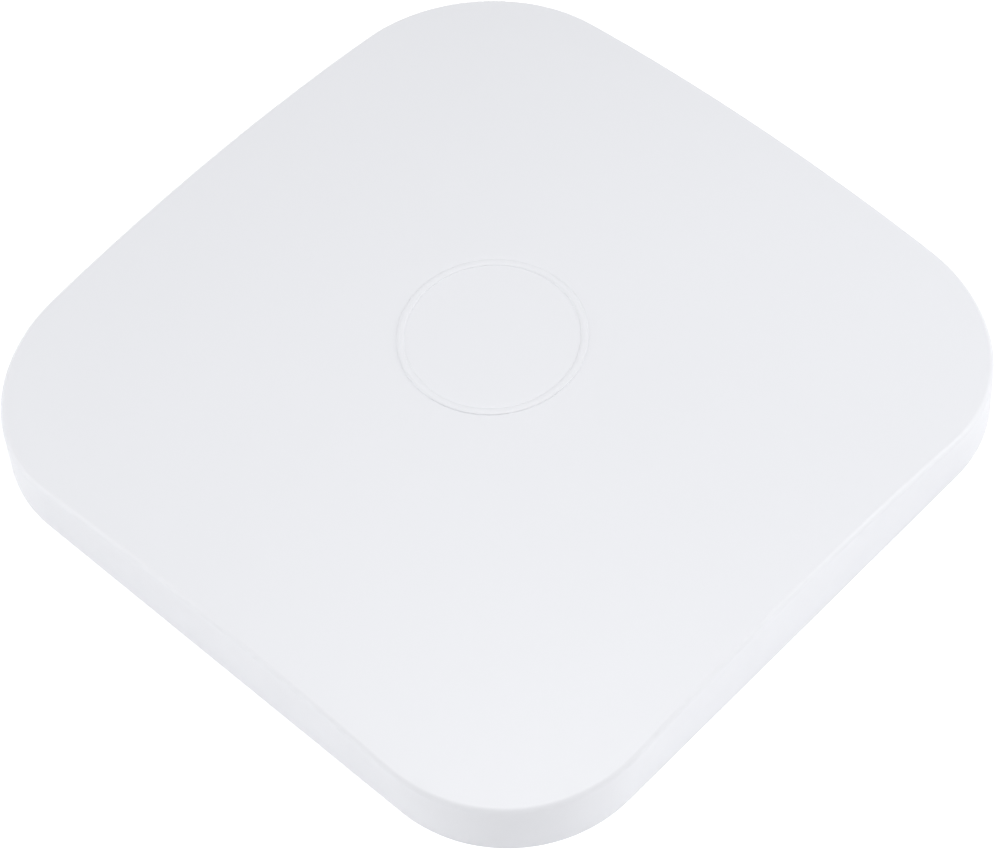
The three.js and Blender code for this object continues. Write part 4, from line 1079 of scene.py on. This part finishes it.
def moulded_dark(name, tone, roughness, wear_amount):
    """Matt dark moulding with a fine grain and slightly greyed edges."""
    finish = Finish(name, roughness)
    grain = finish.effect(GRAIN, Grain_Scale=2400.0, Drift_Scale=50.0)
    wear = finish.effect(WEAR, Amount=wear_amount)
    shaded = finish.blend(grain["Tone"], tone, tuple(1.35 * c for c in tone))
    finish.colour(finish.blend(wear["Mask"], shaded, tuple(0.09 + c for c in tone)))
    finish.roughness(grain["Gloss"], roughness - 0.07, roughness + 0.08)
    finish.relief(grain["Height"], 0.02 * MM, 0.6)
    return finish.material


def thermal_pad():
    """Soft grey filled rubber with ceramic specks."""
    finish = Finish("thermal pad rubber", 0.8, Sheen_Weight=0.15)
    grain = finish.effect(GRAIN, Grain_Scale=1400.0, Drift_Scale=220.0)
    specks = scaled(finish.nodes, finish.links, grain["Height"], 0.58, 0.66)
    finish.colour(finish.blend(specks, (0.24, 0.26, 0.29), (0.40, 0.42, 0.44)))
    finish.roughness(grain["Gloss"], 0.74, 0.88)
    finish.relief(grain["Height"], 0.06 * MM, 0.7)
    return finish.material


def clear_plastic():
    """Clear moulding with faint flow lines."""
    finish = Finish("clear light guide plastic", 0.12, Transmission_Weight=0.9, IOR=1.49)
    finish.stretch((1, 1, 0.2))
    grain = finish.effect(GRAIN, Grain_Scale=500.0, Drift_Scale=120.0)
    finish.colour(finish.blend(grain["Tone"], (0.86, 0.88, 0.90), (0.93, 0.94, 0.95)))
    finish.roughness(grain["Gloss"], 0.08, 0.18)
    finish.relief(grain["Height"], 0.02 * MM, 0.3)
    return finish.material


GRAIN, WEAR, DUST = make_grain_group(), make_wear_group(), make_dust_group()
CASE_TONE = (0.762, 0.770, 0.800)
BRACKET_TONE = (0.72, 0.73, 0.745)
FINISHES = {
    "case_plastic": moulded_white("satin white case plastic", CASE_TONE, 0.42, 0.02),
    "bracket_plastic": moulded_white("matt white bracket plastic", BRACKET_TONE, 0.55, 0.0),
    "label_film": label_film(),
    "board_laminate": board_laminate(),
    "steel": plated_metal(
        "zinc plated steel", (0.62, 0.63, 0.65), (0.48, 0.49, 0.51), 0.34, (1, 1, 1), 0.03 * MM
    ),
    "tinned_steel": plated_metal(
        "tin plated steel", (0.70, 0.71, 0.72), (0.58, 0.59, 0.60), 0.28, (0.15, 1, 1), 0.02 * MM
    ),
    "aluminium": plated_metal(
        "extruded aluminium", (0.60, 0.61, 0.63), (0.50, 0.51, 0.53), 0.36, (1, 0.08, 1), 0.04 * MM
    ),
    "black_plastic": moulded_dark("matt black plastic", (0.018, 0.018, 0.020), 0.5, 0.35),
    "thermal_pad": thermal_pad(),
    "clear_plastic": clear_plastic(),
    "lead_jacket": moulded_dark("dark lead jacket", (0.028, 0.028, 0.030), 0.42, 0.2),
}


def paint_frame():
    """Gives every CAD node the finish of its material slot."""
    for row in frame["record"]["subparts"]:
        node = frame["nodes"][row["node"]]
        node.data.materials.clear()
        node.data.materials.append(FINISHES[row["material_slot"]])


# ---- Camera, floor and light ----

CAMERA_AZIMUTH = math.radians(46.6887)
CAMERA_ELEVATION = math.radians(55.1697)
CAMERA_ROLL = math.radians(-4.5165)
CAMERA_DISTANCE = 850.13 * MM
FOCAL_RATIO = 4.27226  # focal length over the image's width, for each metre of distance
AIM = (0.363 * MM, -2.960 * MM)
SENSOR_WIDTH = 36
FLOOR_GLOW = 0.2
SKY_STRENGTH = 0.531
DIM_DIRECTION = (0.725, -0.684, 0.08)  # the room's dim end, beyond the front corner
DIM_RANGE = (0.3, 0.8)
DIM_LOSS = 0.508
SOFT_BOXES = [  # name, place, size and power
    ("left soft box", (-0.95, -1.15, 0.70), 0.9, 8.4),
    ("right soft box", (1.15, 0.95, 0.70), 0.9, 10.9),
    ("overhead soft box", (0.35, -0.35, 1.5), 1.2, 12.3),
]


def make_camera():
    """The camera, aimed a little beside the case's middle and tipped by its roll."""
    azimuth, elevation, roll = CAMERA_AZIMUTH, CAMERA_ELEVATION, CAMERA_ROLL
    back = Vector((
        math.sin(azimuth) * math.cos(elevation),
        -math.cos(azimuth) * math.cos(elevation),
        math.sin(elevation),
    ))
    right = Vector((math.cos(azimuth), math.sin(azimuth), 0))
    up = back.cross(right)
    right, up = (
        math.cos(roll) * right + math.sin(roll) * up,
        -math.sin(roll) * right + math.cos(roll) * up,
    )
    data = bpy.data.cameras.new("camera")
    camera = bpy.data.objects.new("camera", data)
    bpy.context.scene.collection.objects.link(camera)
    turn = Matrix((right, up, back)).transposed()
    place = AIM[0] * right + AIM[1] * up + CAMERA_DISTANCE * back
    camera.matrix_world = Matrix.Translation(place) @ turn.to_4x4()
    data.sensor_width = SENSOR_WIDTH
    data.lens = CAMERA_DISTANCE * FOCAL_RATIO * SENSOR_WIDTH
    data.clip_start, data.clip_end = 0.01, 20
    bpy.context.scene.camera = camera


def make_floor():
    """A pale light table, which glows a little so that it stays white up to the object."""
    bpy.ops.object.select_all(action="DESELECT")
    bpy.ops.mesh.primitive_plane_add(size=12)
    floor = take("floor")
    finish = Finish("pale floor", 0.9)
    grain = finish.effect(GRAIN, Grain_Scale=60.0, Drift_Scale=0.7)
    finish.colour(finish.blend(grain["Tone"], (0.90, 0.90, 0.91), (0.92, 0.92, 0.93)))
    finish.shader.inputs["Emission Color"].default_value = (1, 1, 1, 1)
    finish.shader.inputs["Emission Strength"].default_value = FLOOR_GLOW
    floor.data.materials.append(finish.material)


def area_light(name, place, size, power):
    """A square soft box that faces the object."""
    data = bpy.data.lights.new(name, "AREA")
    data.shape = "SQUARE"
    data.size = size
    data.energy = power
    light = bpy.data.objects.new(name, data)
    bpy.context.scene.collection.objects.link(light)
    light.location = place
    light.rotation_euler = (-Vector(place)).to_track_quat("-Z", "Y").to_euler()


def make_light():
    """The soft boxes, in a room that the camera sees white and that lights less from its dim end."""
    world = bpy.data.worlds.new("studio")
    bpy.context.scene.world = world
    world.use_nodes = True
    nodes, links = world.node_tree.nodes, world.node_tree.links
    nodes["Background"].inputs["Color"].default_value = (1, 1, 1, 1)
    direction = nodes.new("ShaderNodeTexCoord").outputs["Generated"]
    facing = nodes.new("ShaderNodeVectorMath")
    facing.operation = "DOT_PRODUCT"
    facing.inputs[1].default_value = DIM_DIRECTION
    links.new(direction, facing.inputs[0])
    dim = scaled(nodes, links, facing.outputs["Value"], *DIM_RANGE)
    seen = nodes.new("ShaderNodeLightPath").outputs["Is Camera Ray"]
    unseen = worked(nodes, links, "SUBTRACT", 1.0, seen)
    loss = worked(nodes, links, "MULTIPLY", dim, DIM_LOSS)
    loss = worked(nodes, links, "MULTIPLY", loss, unseen)
    strength = worked(nodes, links, "SUBTRACT", SKY_STRENGTH, loss)
    links.new(worked(nodes, links, "ADD", strength, seen), nodes["Background"].inputs["Strength"])
    for soft_box in SOFT_BOXES:
        area_light(*soft_box)


# ---- The whole ----

make_camera()
make_floor()
make_light()
paint_frame()
cover_blank = cover_shell("cover_blank")
make_cover(cover_blank, FINISHES["case_plastic"])
make_knockout(cover_blank, FINISHES["case_plastic"])
bpy.data.objects.remove(cover_blank, do_unlink=True)
make_base(FINISHES["case_plastic"])
make_label(FINISHES["label_film"])
make_plate(FINISHES["bracket_plastic"])
for jack in JACK_NODES:
    make_network_socket(jack, FINISHES["tinned_steel"])
make_power_socket(FINISHES["black_plastic"])
for button in BUTTON_NODES:
    make_button(button, FINISHES["black_plastic"])
make_case_screws(FINISHES["steel"])
bpy.context.scene.view_settings.view_transform = "Standard"
